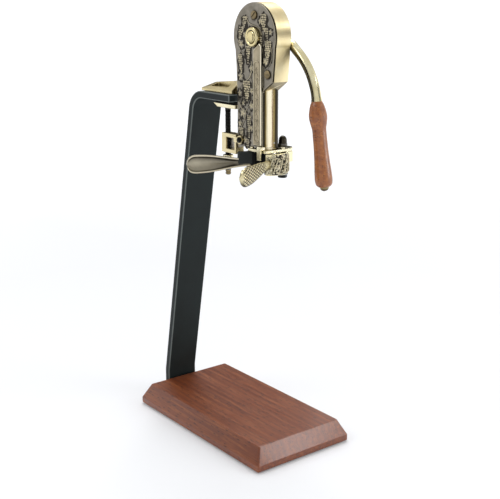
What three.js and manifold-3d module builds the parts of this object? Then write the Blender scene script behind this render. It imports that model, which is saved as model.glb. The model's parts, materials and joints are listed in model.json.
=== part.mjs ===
// Wine opener on a stand: a lever-driven corkscrew clamped to the arm of a strap stand on a wooden board.
// Units are millimetres. +Z is up, -Y is the decorated front, +X is the side of the lever.
// The origin is on the floor under the middle of the board.
import * as THREE from "three";
import { ConvexGeometry } from "three/addons/geometries/ConvexGeometry.js";
import { mergeVertices } from "three/addons/utils/BufferGeometryUtils.js";
import Module from "manifold-3d";

const wasm = await Module();
wasm.setup();

// ---------------------------------------------------------------- driving dimensions
const FIT = 0.3; // gap left between pieces that touch
const RUN = 0.25; // running clearance round a turning piece
const FAR = 60; // reach of a tool that cuts right through a piece
const DEDENDUM = 1.25; // depth of a tooth space below the pitch line, in modules

const BOARD = { length: 294, width: 163, top: 32.6, edgeTop: 10.3, insetX: 11.6, insetY: 10.8 };
const FELT = { thick: 1.5, inset: 6, corner: 4 };

const STRAP = {
  y: -11,
  width: 50,
  thick: 10,
  faceX: -138,
  bendZ: 45,
  lean: Math.atan(0.184),
  innerRadius: 20,
  armTop: 489.3,
  armEnd: 24,
  footZ: 4,
};

const SHAFT = { x: 63, z: 566, radius: 5, frontY: -14.6, backY: 28.5 };
const PLANE_Y = -11; // mid-depth of the head
const HEAD = { radius: 43.5, front: -13, back: 13, wall: 3, coverThick: 3 };
const HEAD_BOTTOM = -68; // below the main shaft
const NECK = { x: 71, y: -7 }; // axis of barrel, worm and bottle

const MODULE = 1.5;
const SECTOR_TEETH = 27;
const IDLER_TEETH = 22;
const SECTOR_RADIUS = (MODULE * SECTOR_TEETH) / 2;
const IDLER_RADIUS = (MODULE * IDLER_TEETH) / 2;
const PRESSURE = THREE.MathUtils.degToRad(20);
const BACKLASH = 0.16; // taken off each tooth flank
const LEVER_SWING = THREE.MathUtils.degToRad(150);
const STROKE = SECTOR_RADIUS * LEVER_SWING;
const RACK_PITCH_X = 8.5; // pitch line of the rack, right of the main shaft
const IDLER = {
  x: RACK_PITCH_X - IDLER_RADIUS,
  z: -Math.sqrt((SECTOR_RADIUS + IDLER_RADIUS) ** 2 - (RACK_PITCH_X - IDLER_RADIUS) ** 2),
};

const BARREL = { outer: 13.7, inner: 12.2, bottom: 421.8, top: 508.8, lip: 1.6, lipHigh: 2.2 };
const PLATE = { bottom: 417.8, top: 421.5 };
const WORM = { lead: 9.5, mean: 3.4, wire: 1.4, tipZ: 426, topZ: 487, shank: 3.9 };
const CARRIER = { radius: 11.9, bottom: 491, top: 505, pocket: 7.4, pocketDeep: 6.6 };
const THRUST = { radius: 7, bottom: 5.2, top: 1.6, washerBottom: 6.3, washerTop: 5.5 }; // down from the top
const GUIDE = { radius: 11.9, bottom: 423.6, top: 433, bore: 5.3 };
const GUIDE_PIN = { radius: 1.1, tip: 1.4, drop: 0.6 };

const JAW = {
  bottom: 389.3,
  split: 403,
  top: 417,
  inner: 17.5,
  outer: 25,
  offset: 2.5,
  pivotX: 72,
  pivotY: 18,
  eye: 9.5,
};
const HANDLE_SPLAY = THREE.MathUtils.degToRad(25);

const ROD = { x: 0.5, y: -20, radius: 3.9, top: 472.6, bottom: 384.2 };
const BRACKET = { left: -5.2, right: 26.6, front: -26.5, back: -13, bottom: 409.5, top: 430.5, plate: 5 };

// ---------------------------------------------------------------- materials
function material(color, roughness, metalness) {
  return new THREE.MeshStandardMaterial({ color, roughness, metalness });
}
const MAHOGANY = () => material(0x6e3c28, 0.4, 0);
const CHERRY = () => material(0xaa6941, 0.45, 0);
const BLACK_PAINT = () => material(0x232a2a, 0.45, 0.1);
const ANTIQUE = () => material(0x8a8272, 0.45, 1);
const BRASS = () => material(0xb8a06a, 0.3, 1);
const STEEL = () => material(0x8f9092, 0.35, 1);
const BLACK_STEEL = () => material(0x1b1d1e, 0.4, 0.8);
const RUBBER = () => material(0x151515, 0.8, 0);

// ---------------------------------------------------------------- solids
function solid(geometry) {
  const bare = geometry.clone();
  bare.deleteAttribute("normal");
  bare.deleteAttribute("uv");
  const merged = mergeVertices(bare, 1e-4);
  return new wasm.Manifold(
    new wasm.Mesh({
      numProp: 3,
      vertProperties: new Float32Array(merged.attributes.position.array),
      triVerts: new Uint32Array(merged.index.array),
    }),
  );
}

function geometryOf(manifold) {
  const mesh = manifold.getMesh();
  const geometry = new THREE.BufferGeometry();
  geometry.setAttribute("position", new THREE.BufferAttribute(new Float32Array(mesh.vertProperties), 3));
  geometry.setIndex(new THREE.BufferAttribute(new Uint32Array(mesh.triVerts), 1));
  geometry.computeVertexNormals();
  return geometry;
}

function join(...parts) {
  return geometryOf(parts.map(solid).reduce((whole, part) => whole.add(part)));
}

function cut(base, ...tools) {
  return geometryOf(tools.map(solid).reduce((rest, tool) => rest.subtract(tool), solid(base)));
}

// An outline in X and Y, drawn up from z0 to z1.
function upright(shape, z0, z1, curveSegments = 12) {
  const geometry = new THREE.ExtrudeGeometry(shape, { depth: z1 - z0, bevelEnabled: false, curveSegments });
  return geometry.translate(0, 0, z0);
}

// An outline in X and Z, drawn from y0 back to y1.
function across(shape, y0, y1, curveSegments = 12) {
  const geometry = new THREE.ExtrudeGeometry(shape, { depth: y1 - y0, bevelEnabled: false, curveSegments });
  return geometry.rotateX(Math.PI / 2).translate(0, y1, 0);
}

function box(x0, x1, y0, y1, z0, z1) {
  const geometry = new THREE.BoxGeometry(x1 - x0, y1 - y0, z1 - z0);
  return geometry.translate((x0 + x1) / 2, (y0 + y1) / 2, (z0 + z1) / 2);
}

function rodZ(radius, z0, z1, x = 0, y = 0, sides = 24) {
  const geometry = new THREE.CylinderGeometry(radius, radius, z1 - z0, sides);
  return geometry.rotateX(Math.PI / 2).translate(x, y, (z0 + z1) / 2);
}

function rodY(radius, y0, y1, x = 0, z = 0, sides = 24) {
  const geometry = new THREE.CylinderGeometry(radius, radius, y1 - y0, sides);
  return geometry.translate(x, (y0 + y1) / 2, z);
}

function rodX(radius, x0, x1, y = 0, z = 0, sides = 16) {
  const geometry = new THREE.CylinderGeometry(radius, radius, x1 - x0, sides);
  return geometry.rotateZ(Math.PI / 2).translate((x0 + x1) / 2, y, z);
}

function ringZ(outer, inner, z0, z1, sides = 24) {
  return cut(rodZ(outer, z0, z1, 0, 0, sides), rodZ(inner, z0 - 1, z1 + 1, 0, 0, sides));
}

function ringY(outer, inner, y0, y1, sides = 24) {
  return cut(rodY(outer, y0, y1, 0, 0, sides), rodY(inner, y0 - 1, y1 + 1, 0, 0, sides));
}

// A solid of revolution about Z from [radius, z] points that start and end on the axis.
function turned(points, sides = 24) {
  const profile = points.map(([radius, z]) => new THREE.Vector2(radius, z));
  return new THREE.LatheGeometry(profile, sides).rotateX(Math.PI / 2);
}

function polygon(points) {
  return new THREE.Shape(points.map(([x, y]) => new THREE.Vector2(x, y)));
}

function disc(radius, sides = 10) {
  const turn = (step) => (step / sides) * 2 * Math.PI;
  const corner = (step) => [radius * Math.cos(turn(step)), radius * Math.sin(turn(step))];
  return polygon(Array.from({ length: sides }, (_, step) => corner(step)));
}

function swept(section, curve, steps) {
  return new THREE.ExtrudeGeometry(section, { extrudePath: curve, steps, bevelEnabled: false });
}

function mesh(name, geometry, look) {
  const piece = new THREE.Mesh(geometry, look);
  piece.name = name;
  return piece;
}

function groupAt(x, y, z, ...children) {
  const group = new THREE.Group();
  group.position.set(x, y, z);
  group.add(...children);
  return group;
}

// ---------------------------------------------------------------- fasteners
const SCREW = { head: 2, shank: 1.9, slotDepth: 0.9, slotHalf: 0.7 };

// A slotted cheese-head screw along Y with its head at the front and its slot turned by slotAngle.
function slottedScrew(headRadius, length, x, y, z, slotAngle) {
  const { head: depth, shank, slotDepth, slotHalf } = SCREW;
  const slot = box(-headRadius - 1, headRadius + 1, -1, slotDepth, -slotHalf, slotHalf).rotateY(-slotAngle);
  const body = join(rodY(headRadius, 0, depth, 0, 0, 24), rodY(shank, depth / 2, length, 0, 0, 16));
  return cut(body, slot).translate(x, y, z);
}

// A countersunk screw along X with its head towards -X; grow enlarges it to make its hole.
const WOOD_SCREW = { head: 4.6, shank: 2.2, taper: 2.6, length: 28 };
function woodScrew(grow) {
  const { head, shank, taper, length } = WOOD_SCREW;
  const points = [[0, -grow], [head + grow, -grow], [head + grow, 0], [shank + grow, taper]];
  points.push([shank + grow, length + grow], [0, length + grow]);
  return turned(points, 16).rotateY(Math.PI / 2);
}

// ---------------------------------------------------------------- board, felt and strap
const STRAP_SCREW = { offset: 15, z: 18 };
const STRAP_SCREW_SPOTS = [-1, 1].map((side) => [STRAP.y + side * STRAP_SCREW.offset, STRAP_SCREW.z]);
const STRAP_HALF = STRAP.width / 2;

function strapScrews(grow) {
  const x = STRAP.faceX - STRAP.thick;
  return STRAP_SCREW_SPOTS.map(([y, z]) => woodScrew(grow).translate(x, y, z));
}

function boardGeometry() {
  const { length, width, top, edgeTop, insetX, insetY } = BOARD;
  const corners = [];
  for (const sx of [-1, 1]) {
    for (const sy of [-1, 1]) {
      corners.push(new THREE.Vector3((sx * length) / 2, (sy * width) / 2, FELT.thick + FIT));
      corners.push(new THREE.Vector3((sx * length) / 2, (sy * width) / 2, edgeTop));
      corners.push(new THREE.Vector3(sx * (length / 2 - insetX), sy * (width / 2 - insetY), top));
    }
  }
  const notchFace = STRAP.faceX + FIT;
  const notchHalf = STRAP_HALF + FIT;
  const notch = box(-length, notchFace, STRAP.y - notchHalf, STRAP.y + notchHalf, -1, top + 1);
  return cut(new ConvexGeometry(corners), notch, ...strapScrews(FIT));
}

// A sheet of felt with cut corners is glued under the board, clear of the strap's notch.
function feltGeometry() {
  const right = BOARD.length / 2 - FELT.inset;
  const back = BOARD.width / 2 - FELT.inset;
  const left = STRAP.faceX + FELT.inset;
  const c = FELT.corner;
  const outline = polygon([
    [left + c, -back], [right - c, -back], [right, c - back], [right, back - c],
    [right - c, back], [left + c, back], [left, back - c], [left, c - back],
  ]);
  return upright(outline, 0, FELT.thick);
}

// The strap stands in the board's notch, leans over it and bends into a level arm.
function strapGeometry() {
  const { faceX, bendZ, lean, innerRadius, thick, armTop, armEnd, footZ } = STRAP;
  const outerRadius = innerRadius + thick;
  const centreZ = armTop - outerRadius;
  const centreX = faceX + Math.tan(lean) * (centreZ - bendZ) + innerRadius / Math.cos(lean);
  const backFootZ = bendZ + thick * Math.tan(lean / 2);
  const shape = new THREE.Shape();
  shape.moveTo(faceX, footZ);
  shape.lineTo(faceX, bendZ);
  shape.absarc(centreX, centreZ, innerRadius, Math.PI - lean, Math.PI / 2, true);
  shape.lineTo(armEnd, armTop - thick);
  shape.lineTo(armEnd, armTop);
  shape.absarc(centreX, centreZ, outerRadius, Math.PI / 2, Math.PI - lean, false);
  shape.lineTo(faceX - thick, backFootZ);
  shape.lineTo(faceX - thick, footZ);
  return cut(across(shape, STRAP.y - STRAP_HALF, STRAP.y + STRAP_HALF, 10), ...strapScrews(FIT));
}

const stand = groupAt(
  0, 0, 0,
  mesh("base_board", boardGeometry(), MAHOGANY()),
  mesh("base_felt", feltGeometry(), RUBBER()),
  mesh("strap_stand", strapGeometry(), BLACK_PAINT()),
  ...strapScrews(0).map((screw, i) => mesh(`strap_screw_${i + 1}`, screw, BLACK_STEEL())),
);

// ---------------------------------------------------------------- head: cover, housing and bearings
// Everything in the head is placed from the main shaft at mid-depth.
const COVER_SCREWS = [
  { x: 0.5, z: 27.5, angle: Math.PI / 4 },
  { x: 28.5, z: -46, angle: 0 },
];
const COVER_SCREW = { head: 5.6, length: 14, post: 3.4 };
const BUSH = { outer: 8.7, inner: SHAFT.radius + RUN, sunk: 0.2 };
const PANEL = { left: -36, right: 18, bottom: -142, leftBottom: -148, step: -14 };
const OUTLINE = {
  footLeft: -35.8,
  footRight: 18.6,
  shoulder: [37.5, -55.5],
  side: [41, -24],
  arcFrom: -0.3,
  arcTo: Math.PI + 0.42,
  waist: [-37.4, -42],
  flank: [-35.6, -84],
};
const BAR = {
  left: 1.4,
  right: 17.6,
  leftTop: -16.5,
  rightTop: -10.5,
  peak: -7.5,
  chamfer: 4,
  bottom: -139,
  front: -16,
};
const BOSS = { outer: 12.4, inner: 8.3, front: -18.3 };
const BARREL_AT = { x: NECK.x - SHAFT.x, y: NECK.y - PLANE_Y };
const BRACKET_EYE = { x: -27.5, z: -136, radius: 5.8 };
const CLAMP_SCREW = { radius: 2.2, from: 16, to: 31, behind: 5 };
const CLAMP_SCREW_Z = [505.5 - SHAFT.z, 510.5 - SHAFT.z];
const IDLER_PIN = { radius: 4, front: -9.6, back: 12.7 };

const COVER_BACK = HEAD.front + HEAD.coverThick;

// The right shoulder, the round top and the left waist, shrunk by inset.
function roundTop(shape, inset) {
  const { shoulder, side, waist, arcFrom, arcTo } = OUTLINE;
  shape.lineTo(shoulder[0] - inset, shoulder[1] + inset / 2);
  shape.lineTo(side[0] - inset, side[1]);
  shape.absarc(0, 0, HEAD.radius - inset, arcFrom, arcTo, false);
  shape.lineTo(waist[0] + inset, waist[1]);
}

// The head's outline shrunk by inset, down to the bottom of the housing.
function headOutline(inset) {
  const shape = new THREE.Shape();
  shape.moveTo(OUTLINE.footLeft + inset, HEAD_BOTTOM + inset);
  shape.lineTo(OUTLINE.footRight - inset / 2, HEAD_BOTTOM + inset);
  roundTop(shape, inset);
  return shape;
}

function coverOutline() {
  const shape = new THREE.Shape();
  shape.moveTo(PANEL.left, PANEL.leftBottom);
  shape.lineTo(PANEL.step, PANEL.bottom);
  shape.lineTo(PANEL.right, PANEL.bottom);
  shape.lineTo(PANEL.right, HEAD_BOTTOM - 1);
  shape.lineTo(OUTLINE.footRight, HEAD_BOTTOM);
  roundTop(shape, 0);
  shape.lineTo(...OUTLINE.flank);
  return shape;
}

function frontCover() {
  const plate = across(coverOutline(), HEAD.front, COVER_BACK, 18);
  const spots = [...COVER_SCREWS, BRACKET_EYE];
  const holes = spots.map(({ x, z }) => rodY(SCREW.shank + FIT, -FAR, FAR, x, z, 16));
  return cut(plate, rodY(BUSH.outer + FIT / 2, -FAR, FAR), ...holes);
}

function rearHousing() {
  const front = COVER_BACK + FIT;
  const wallFront = HEAD.back - HEAD.wall;
  const room = across(headOutline(HEAD.wall), front - 1, wallFront, 14);
  const shell = cut(across(headOutline(0), front, HEAD.back, 18), room);
  const posts = COVER_SCREWS.map(({ x, z }) => rodY(COVER_SCREW.post, front, HEAD.back - 1, x, z, 16));
  const screwEnd = HEAD.front + COVER_SCREW.length + HEAD.wall;
  const barrelTop = BARREL.top + FIT - SHAFT.z;
  const { radius, behind, to } = CLAMP_SCREW;
  const clampHoleEnd = to + HEAD.wall - SHAFT.x;
  return cut(
    join(shell, ...posts),
    rodZ(BARREL.outer + FIT, HEAD_BOTTOM - 5, barrelTop, BARREL_AT.x, BARREL_AT.y),
    rodY(BUSH.outer + FIT / 2, wallFront - 1, FAR),
    rodY(IDLER_PIN.radius + FIT / 2, wallFront - 1, FAR, IDLER.x, IDLER.z, 20),
    ...COVER_SCREWS.map(({ x, z }) => rodY(SCREW.shank + FIT, front - 1, screwEnd, x, z, 16)),
    ...CLAMP_SCREW_Z.map((z) => rodX(radius + FIT, -FAR, clampHoleEnd, behind, z)),
  );
}

function faceBar() {
  const outline = new THREE.Shape();
  outline.moveTo(BAR.left, BAR.bottom);
  outline.lineTo(BAR.right, BAR.bottom);
  outline.lineTo(BAR.right, BAR.rightTop);
  outline.lineTo(BAR.right - BAR.chamfer, BAR.peak);
  outline.lineTo(BAR.left, BAR.leftTop);
  return cut(across(outline, BAR.front, HEAD.front - FIT), rodY(BOSS.outer + FIT, -FAR, 0));
}

const coverScrews = COVER_SCREWS.map(({ x, z, angle }) =>
  slottedScrew(COVER_SCREW.head, COVER_SCREW.length, x, HEAD.front - SCREW.head - FIT, z, angle),
);

const FRONT_BUSH = HEAD.front + BUSH.sunk;
const REAR_BUSH = HEAD.back - HEAD.wall + FIT / 2;
const head = groupAt(
  SHAFT.x, PLANE_Y, SHAFT.z,
  mesh("front_cover", frontCover(), ANTIQUE()),
  mesh("rear_housing", rearHousing(), BRASS()),
  mesh("face_bar", faceBar(), ANTIQUE()),
  ...coverScrews.map((screw, i) => mesh(`cover_screw_${i + 1}`, screw, ANTIQUE())),
  mesh("front_bushing", ringY(BUSH.outer, BUSH.inner, FRONT_BUSH, FRONT_BUSH + HEAD.coverThick), BRASS()),
  mesh("rear_bushing", ringY(BUSH.outer, BUSH.inner, REAR_BUSH, HEAD.back), BRASS()),
  mesh("shaft_boss", ringY(BOSS.outer, BOSS.inner, BOSS.front, HEAD.front - FIT), BRASS()),
  mesh("idler_pin", rodY(IDLER_PIN.radius, IDLER_PIN.front, IDLER_PIN.back, IDLER.x, IDLER.z, 20), STEEL()),
);

// ---------------------------------------------------------------- gear train
const SECTOR_LAYER = [-6.5, -1];
const RACK_LAYER = [0.5, 7.5];
const MESH_ANGLE = Math.atan2(IDLER.z, IDLER.x); // from the shaft to the idler

// One involute tooth on the +X axis as [radius, angle] points, from its lower flank to its upper flank.
function toothPoints(teeth) {
  const pitch = (MODULE * teeth) / 2;
  const base = pitch * Math.cos(PRESSURE);
  const tip = pitch + MODULE;
  const start = Math.max(base, pitch - MODULE);
  const involute = (radius) => Math.tan(Math.acos(base / radius)) - Math.acos(base / radius);
  const half = Math.PI / (2 * teeth) - BACKLASH / pitch + involute(pitch);
  const flank = [0, 1, 2].map((step) => start + ((tip - start) * step) / 2);
  const upper = flank.map((radius) => [radius, half - involute(radius)]);
  const lower = upper.map(([radius, angle]) => [radius, -angle]);
  return { lower, upper: upper.reverse(), root: pitch - DEDENDUM * MODULE };
}

// A gear outline with a tooth centred on toothAngle and teeth kept where keep(angle) is true.
const ROOT_FLARE = 1.12; // how much wider a tooth stands at its root than at the foot of its flank
function gearOutline(teeth, toothAngle, plainRadius, keep) {
  const { lower, upper, root } = toothPoints(teeth);
  const pitchAngle = (2 * Math.PI) / teeth;
  const points = [];
  for (let i = 0; i < teeth; i += 1) {
    const centre = toothAngle + i * pitchAngle;
    if (keep(centre)) {
      points.push([root, centre + lower[0][1] * ROOT_FLARE]);
      for (const [radius, angle] of [...lower, ...upper]) {
        points.push([radius, centre + angle]);
      }
      points.push([root, centre - lower[0][1] * ROOT_FLARE]);
    } else {
      points.push([plainRadius, centre - pitchAngle / 2], [plainRadius, centre]);
    }
  }
  return polygon(points.map(([radius, angle]) => [radius * Math.cos(angle), radius * Math.sin(angle)]));
}

function angleBetween(a, b) {
  return Math.abs(Math.atan2(Math.sin(a - b), Math.cos(a - b)));
}

// The sector's teeth pass the mesh point while the lever swings, with a margin at both ends.
const SECTOR_MIDDLE = MESH_ANGLE - LEVER_SWING / 2;
const SECTOR_HALF = LEVER_SWING / 2 + THREE.MathUtils.degToRad(16);
const SECTOR_HUB = { radius: 9, front: -9.5, plainRadius: 12, bore: SHAFT.radius + 0.15 };
const CROSS_PIN = { radius: 1.2, hole: 1.5, sectorHalf: 8.6, leverHalf: 10.4 };
const PIN_Y = -8.2; // cross pin through the sector's hub

function crossHole(y) {
  return rodX(CROSS_PIN.hole, -FAR, FAR, y, 0, 12);
}

function crossPin(half, y) {
  return rodX(CROSS_PIN.radius, -half, half, y, 0, 12);
}

function sectorGear() {
  const keep = (angle) => angleBetween(angle, SECTOR_MIDDLE) < SECTOR_HALF;
  const outline = gearOutline(SECTOR_TEETH, MESH_ANGLE, SECTOR_HUB.plainRadius, keep);
  const hub = rodY(SECTOR_HUB.radius, SECTOR_HUB.front, SECTOR_LAYER[1]);
  const body = join(across(outline, ...SECTOR_LAYER), hub);
  return cut(body, rodY(SECTOR_HUB.bore, -FAR, FAR), crossHole(PIN_Y));
}

function idlerGear() {
  const gap = MESH_ANGLE + Math.PI;
  const outline = gearOutline(IDLER_TEETH, gap + Math.PI / IDLER_TEETH, 0, () => true);
  const bore = rodY(IDLER_PIN.radius + RUN, -FAR, FAR, 0, 0, 20);
  return cut(across(outline, SECTOR_LAYER[0], RACK_LAYER[1]), bore);
}

// Height of a rack gap, level with the idler tooth that lies nearest the rack's side.
function rackPhase() {
  const pitchAngle = (2 * Math.PI) / IDLER_TEETH;
  const tooth = MESH_ANGLE + Math.PI + Math.PI / IDLER_TEETH;
  return IDLER_RADIUS * (tooth - pitchAngle * Math.round(tooth / pitchAngle));
}

const RACK_FOOT = { low: CARRIER.top + FIT - SHAFT.z, thick: 2.5 };
const RACK = { back: 15, top: 26.5, bottom: RACK_FOOT.low + RACK_FOOT.thick };

function rackGeometry() {
  const pitch = Math.PI * MODULE;
  const gapZ = IDLER.z + rackPhase();
  const tan = Math.tan(PRESSURE);
  const tipX = RACK_PITCH_X - MODULE;
  const rootX = RACK_PITCH_X + DEDENDUM * MODULE;
  const halfTip = pitch / 4 - BACKLASH - MODULE * tan;
  const halfRoot = pitch / 4 - BACKLASH + DEDENDUM * MODULE * tan;
  const points = [[RACK.back, RACK.top], [rootX, RACK.top]];
  const highest = Math.floor((RACK.top - gapZ - pitch) / pitch);
  for (let i = highest; i >= -1; i -= 1) {
    const centre = gapZ + (i + 0.5) * pitch;
    points.push([rootX, centre + halfRoot], [tipX, centre + halfTip]);
    points.push([tipX, centre - halfTip], [rootX, centre - halfRoot]);
  }
  points.push([rootX, RACK.bottom], [RACK.back, RACK.bottom]);
  const foot = rodZ(CARRIER.radius, RACK_FOOT.low, RACK.bottom + 0.5, BARREL_AT.x, BARREL_AT.y);
  return join(across(polygon(points), ...RACK_LAYER), foot);
}

const gearTrain = groupAt(
  SHAFT.x, PLANE_Y, SHAFT.z,
  mesh("sector_gear", sectorGear(), STEEL()),
  mesh("sector_pin", crossPin(CROSS_PIN.sectorHalf, PIN_Y), STEEL()),
  groupAt(IDLER.x, 0, IDLER.z, mesh("idler_gear", idlerGear(), STEEL())),
  mesh("rack", rackGeometry(), STEEL()),
);

// ---------------------------------------------------------------- main shaft, lever and grip
const LEVER = { y: 20, arm: 6.3, hub: 11, hubFront: 13.6, hubBack: 27, tang: 2.6 };
const GRIP_TOP = { x: 148.5 - SHAFT.x, z: 493 - SHAFT.z };
const GRIP_TILT = Math.atan2(18.4, 112);
const GRIP_START = 4; // from the end of the arm
const GRIP_LENGTH = 108;
const LEVER_ROUTE = [
  [6, -1.5], [32.7, -7.8], [46.7, -16.5], [58.6, -25.9], [68.5, -36.4], [76.4, -48.3], [82.4, -61.5],
];

function mainShaft() {
  const shaft = rodY(SHAFT.radius, SHAFT.frontY, SHAFT.backY, 0, 0, 28);
  return cut(shaft, crossHole(PIN_Y), crossHole(LEVER.y));
}

// A point at distance along the grip's axis below the end of the lever arm.
function alongGrip(distance) {
  const x = GRIP_TOP.x + distance * Math.sin(GRIP_TILT);
  return new THREE.Vector3(x, LEVER.y, GRIP_TOP.z - distance * Math.cos(GRIP_TILT));
}

function leverArm() {
  const route = LEVER_ROUTE.map(([x, z]) => new THREE.Vector3(x, LEVER.y, z));
  route.push(alongGrip(-1), alongGrip(3));
  const curve = new THREE.CatmullRomCurve3(route, false, "centripetal");
  const arm = swept(disc(LEVER.arm, 12), curve, 22);
  const hub = rodY(LEVER.hub, LEVER.hubFront, LEVER.hubBack, 0, 0, 28);
  const tang = rodZ(LEVER.tang, -GRIP_LENGTH - GRIP_START, 2, 0, 0, 12);
  placeOnGrip(tang, 0);
  const whole = join(arm, hub, tang);
  return cut(whole, rodY(SECTOR_HUB.bore, 0, FAR, 0, 0, 28), crossHole(LEVER.y));
}

function placeOnGrip(geometry, distance) {
  const at = alongGrip(distance);
  return geometry.rotateY(-GRIP_TILT).translate(at.x, at.y, at.z);
}

// The grip is turned from wood: a bead at the top, a waist and a long swelling handle.
const GRIP_PROFILE = [
  [3, 0], [6.6, 0], [9, 5], [11, 13], [11.6, 20], [10.6, 27], [9.1, 34], [9, 44], [9.2, 60],
  [10, 76], [11.1, 90], [11.5, 99], [10, 105], [7, GRIP_LENGTH], [3, GRIP_LENGTH],
];

function gripGeometry() {
  const profile = GRIP_PROFILE.map(([radius, down]) => new THREE.Vector2(radius, -down));
  profile.push(profile[0].clone());
  const body = new THREE.LatheGeometry(profile.reverse(), 20).rotateX(Math.PI / 2);
  return placeOnGrip(body, GRIP_START);
}

function gripEndCap() {
  const dome = turned([[0, -5], [4, -4], [5.6, -1], [5.6, 0], [0, 0]], 20);
  return placeOnGrip(dome, GRIP_START + GRIP_LENGTH + FIT);
}

const CAP = { radius: 7.8, front: -19.4, back: -15, crown: 4, crownFront: -20.2 };

function shaftCap() {
  const crown = rodY(CAP.crown, CAP.crownFront, CAP.front + 0.4, 0, 0, 20);
  return join(rodY(CAP.radius, CAP.front, CAP.back, 0, 0, 28), crown);
}

const lever = groupAt(
  SHAFT.x, PLANE_Y, SHAFT.z,
  mesh("main_shaft", mainShaft(), STEEL()),
  mesh("shaft_cap", shaftCap(), BRASS()),
  mesh("lever_arm", leverArm(), BRASS()),
  mesh("lever_pin", crossPin(CROSS_PIN.leverHalf, LEVER.y), STEEL()),
  mesh("wood_grip", gripGeometry(), CHERRY()),
  mesh("grip_end_cap", gripEndCap(), BRASS()),
);

// ---------------------------------------------------------------- barrel, carriage and worm
// Everything here is placed from the neck axis.
function barrelGeometry() {
  const tube = ringZ(BARREL.outer, BARREL.inner, BARREL.bottom, BARREL.top, 28);
  const lipTop = BARREL.bottom + BARREL.lipHigh;
  const lip = ringZ(BARREL.outer + BARREL.lip, BARREL.inner, BARREL.bottom, lipTop, 28);
  const clearOfPanel = box(-FAR, FAR, -FAR, -BARREL.outer + 0.05, BARREL.bottom - 1, BARREL.top + 1);
  return cut(join(tube, lip), clearOfPanel, rodX(GUIDE_PIN.radius + FIT, 0, FAR, 0, guidePinZ(), 12));
}

// The helix rises with its angle, so between two turns it leaves a gap half a lead away.
function guidePinZ() {
  return WORM.tipZ + WORM.lead / 2 - GUIDE_PIN.drop;
}

class WormHelix extends THREE.Curve {
  constructor(bottom, top) {
    super();
    this.bottom = bottom;
    this.top = top;
  }

  getPoint(t, target = new THREE.Vector3()) {
    const z = this.bottom + (this.top - this.bottom) * t;
    const angle = ((z - guidePinZ() + WORM.lead / 2) / WORM.lead) * 2 * Math.PI;
    return target.set(WORM.mean * Math.cos(angle), WORM.mean * Math.sin(angle), z);
  }
}

function wormGeometry() {
  const end = WORM.topZ + 1;
  const turns = (end - WORM.tipZ) / WORM.lead;
  const helix = swept(disc(WORM.wire, 7), new WormHelix(WORM.tipZ, end), Math.round(turns * 12));
  const shank = rodZ(WORM.shank, WORM.topZ - WORM.wire, CARRIER.top - 5, 0, 0, 24);
  const thrust = rodZ(THRUST.radius, CARRIER.top - THRUST.bottom, CARRIER.top - THRUST.top, 0, 0, 28);
  return join(helix, shank, thrust);
}

function carrierGeometry() {
  return cut(
    rodZ(CARRIER.radius, CARRIER.bottom, CARRIER.top, 0, 0, 28),
    rodZ(WORM.shank + RUN, CARRIER.bottom - 1, CARRIER.top + 1, 0, 0, 24),
    rodZ(CARRIER.pocket, CARRIER.top - CARRIER.pocketDeep, CARRIER.top + 1, 0, 0, 28),
  );
}

function guideNut() {
  return cut(
    rodZ(GUIDE.radius, GUIDE.bottom, GUIDE.top, 0, 0, 28),
    rodZ(GUIDE.bore, GUIDE.bottom - 1, GUIDE.top + 1, 0, 0, 28),
    rodX(GUIDE_PIN.radius + FIT, 0, FAR, 0, guidePinZ(), 12),
  );
}

function thrustWasher() {
  const { radius, washerBottom, washerTop } = THRUST;
  return ringZ(radius, WORM.shank + RUN, CARRIER.top - washerBottom, CARRIER.top - washerTop, 28);
}

const worm = groupAt(
  NECK.x, NECK.y, 0,
  mesh("barrel", barrelGeometry(), BRASS()),
  mesh("worm_carrier", carrierGeometry(), STEEL()),
  mesh("thrust_washer", thrustWasher(), STEEL()),
  mesh("worm", wormGeometry(), STEEL()),
  mesh("guide_nut", guideNut(), BRASS()),
  mesh("guide_pin", rodX(GUIDE_PIN.radius, GUIDE_PIN.tip, BARREL.outer, 0, guidePinZ(), 12), STEEL()),
);

// ---------------------------------------------------------------- jaw plate and pivot
const PLATE_EDGE = { left: 54, right: 90, frontLeft: -27, frontRight: -25, backLeft: 4 };
const PLATE_BACK = { x: 75, y: 17, radius: 12 };
const PLATE_SCREW = { head: 3, shank: 1.5, hole: 1.8, crown: 2.1 };
const PLATE_SCREWS = [[57.5, -22.5], [86.5, 6]];

function jawPlate() {
  const { left, right, frontLeft, frontRight, backLeft } = PLATE_EDGE;
  const outline = new THREE.Shape();
  outline.moveTo(left, frontLeft);
  outline.lineTo(right, frontRight);
  outline.lineTo(right, PLATE_BACK.y + 3);
  outline.absarc(PLATE_BACK.x, PLATE_BACK.y, PLATE_BACK.radius, 0, Math.PI, false);
  outline.lineTo(left, backLeft);
  const through = [PLATE.bottom - 1, PLATE.top + 1];
  const neckHole = rodZ(BARREL.inner, ...through, NECK.x, NECK.y);
  const pivotHole = rodZ(BOLT.radius + FIT, ...through, JAW.pivotX, JAW.pivotY, 20);
  const screwHoles = PLATE_SCREWS.map(([x, y]) => rodZ(PLATE_SCREW.hole, ...through, x, y, 12));
  return cut(upright(outline, PLATE.bottom, PLATE.top, 14), neckHole, pivotHole, ...screwHoles);
}

function plateScrew(x, y) {
  const crown = rodZ(PLATE_SCREW.head, PLATE.top + FIT, PLATE.top + PLATE_SCREW.crown, x, y, 16);
  return join(crown, rodZ(PLATE_SCREW.shank, PLATE.bottom + 0.2, PLATE.top + 1, x, y, 12));
}

// A tab at the front edge of the jaw plate stops the bottle neck; its lip hooks over the plate.
const TAB = { left: 76, right: 83.5, front: -29.5, back: -27.3, bottom: 408.5, top: 426.5 };
const TAB_HOOK_BACK = -21.5;
const TAB_LIP = { right: 87.5, back: -24.3, above: 2.8 };

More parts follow.
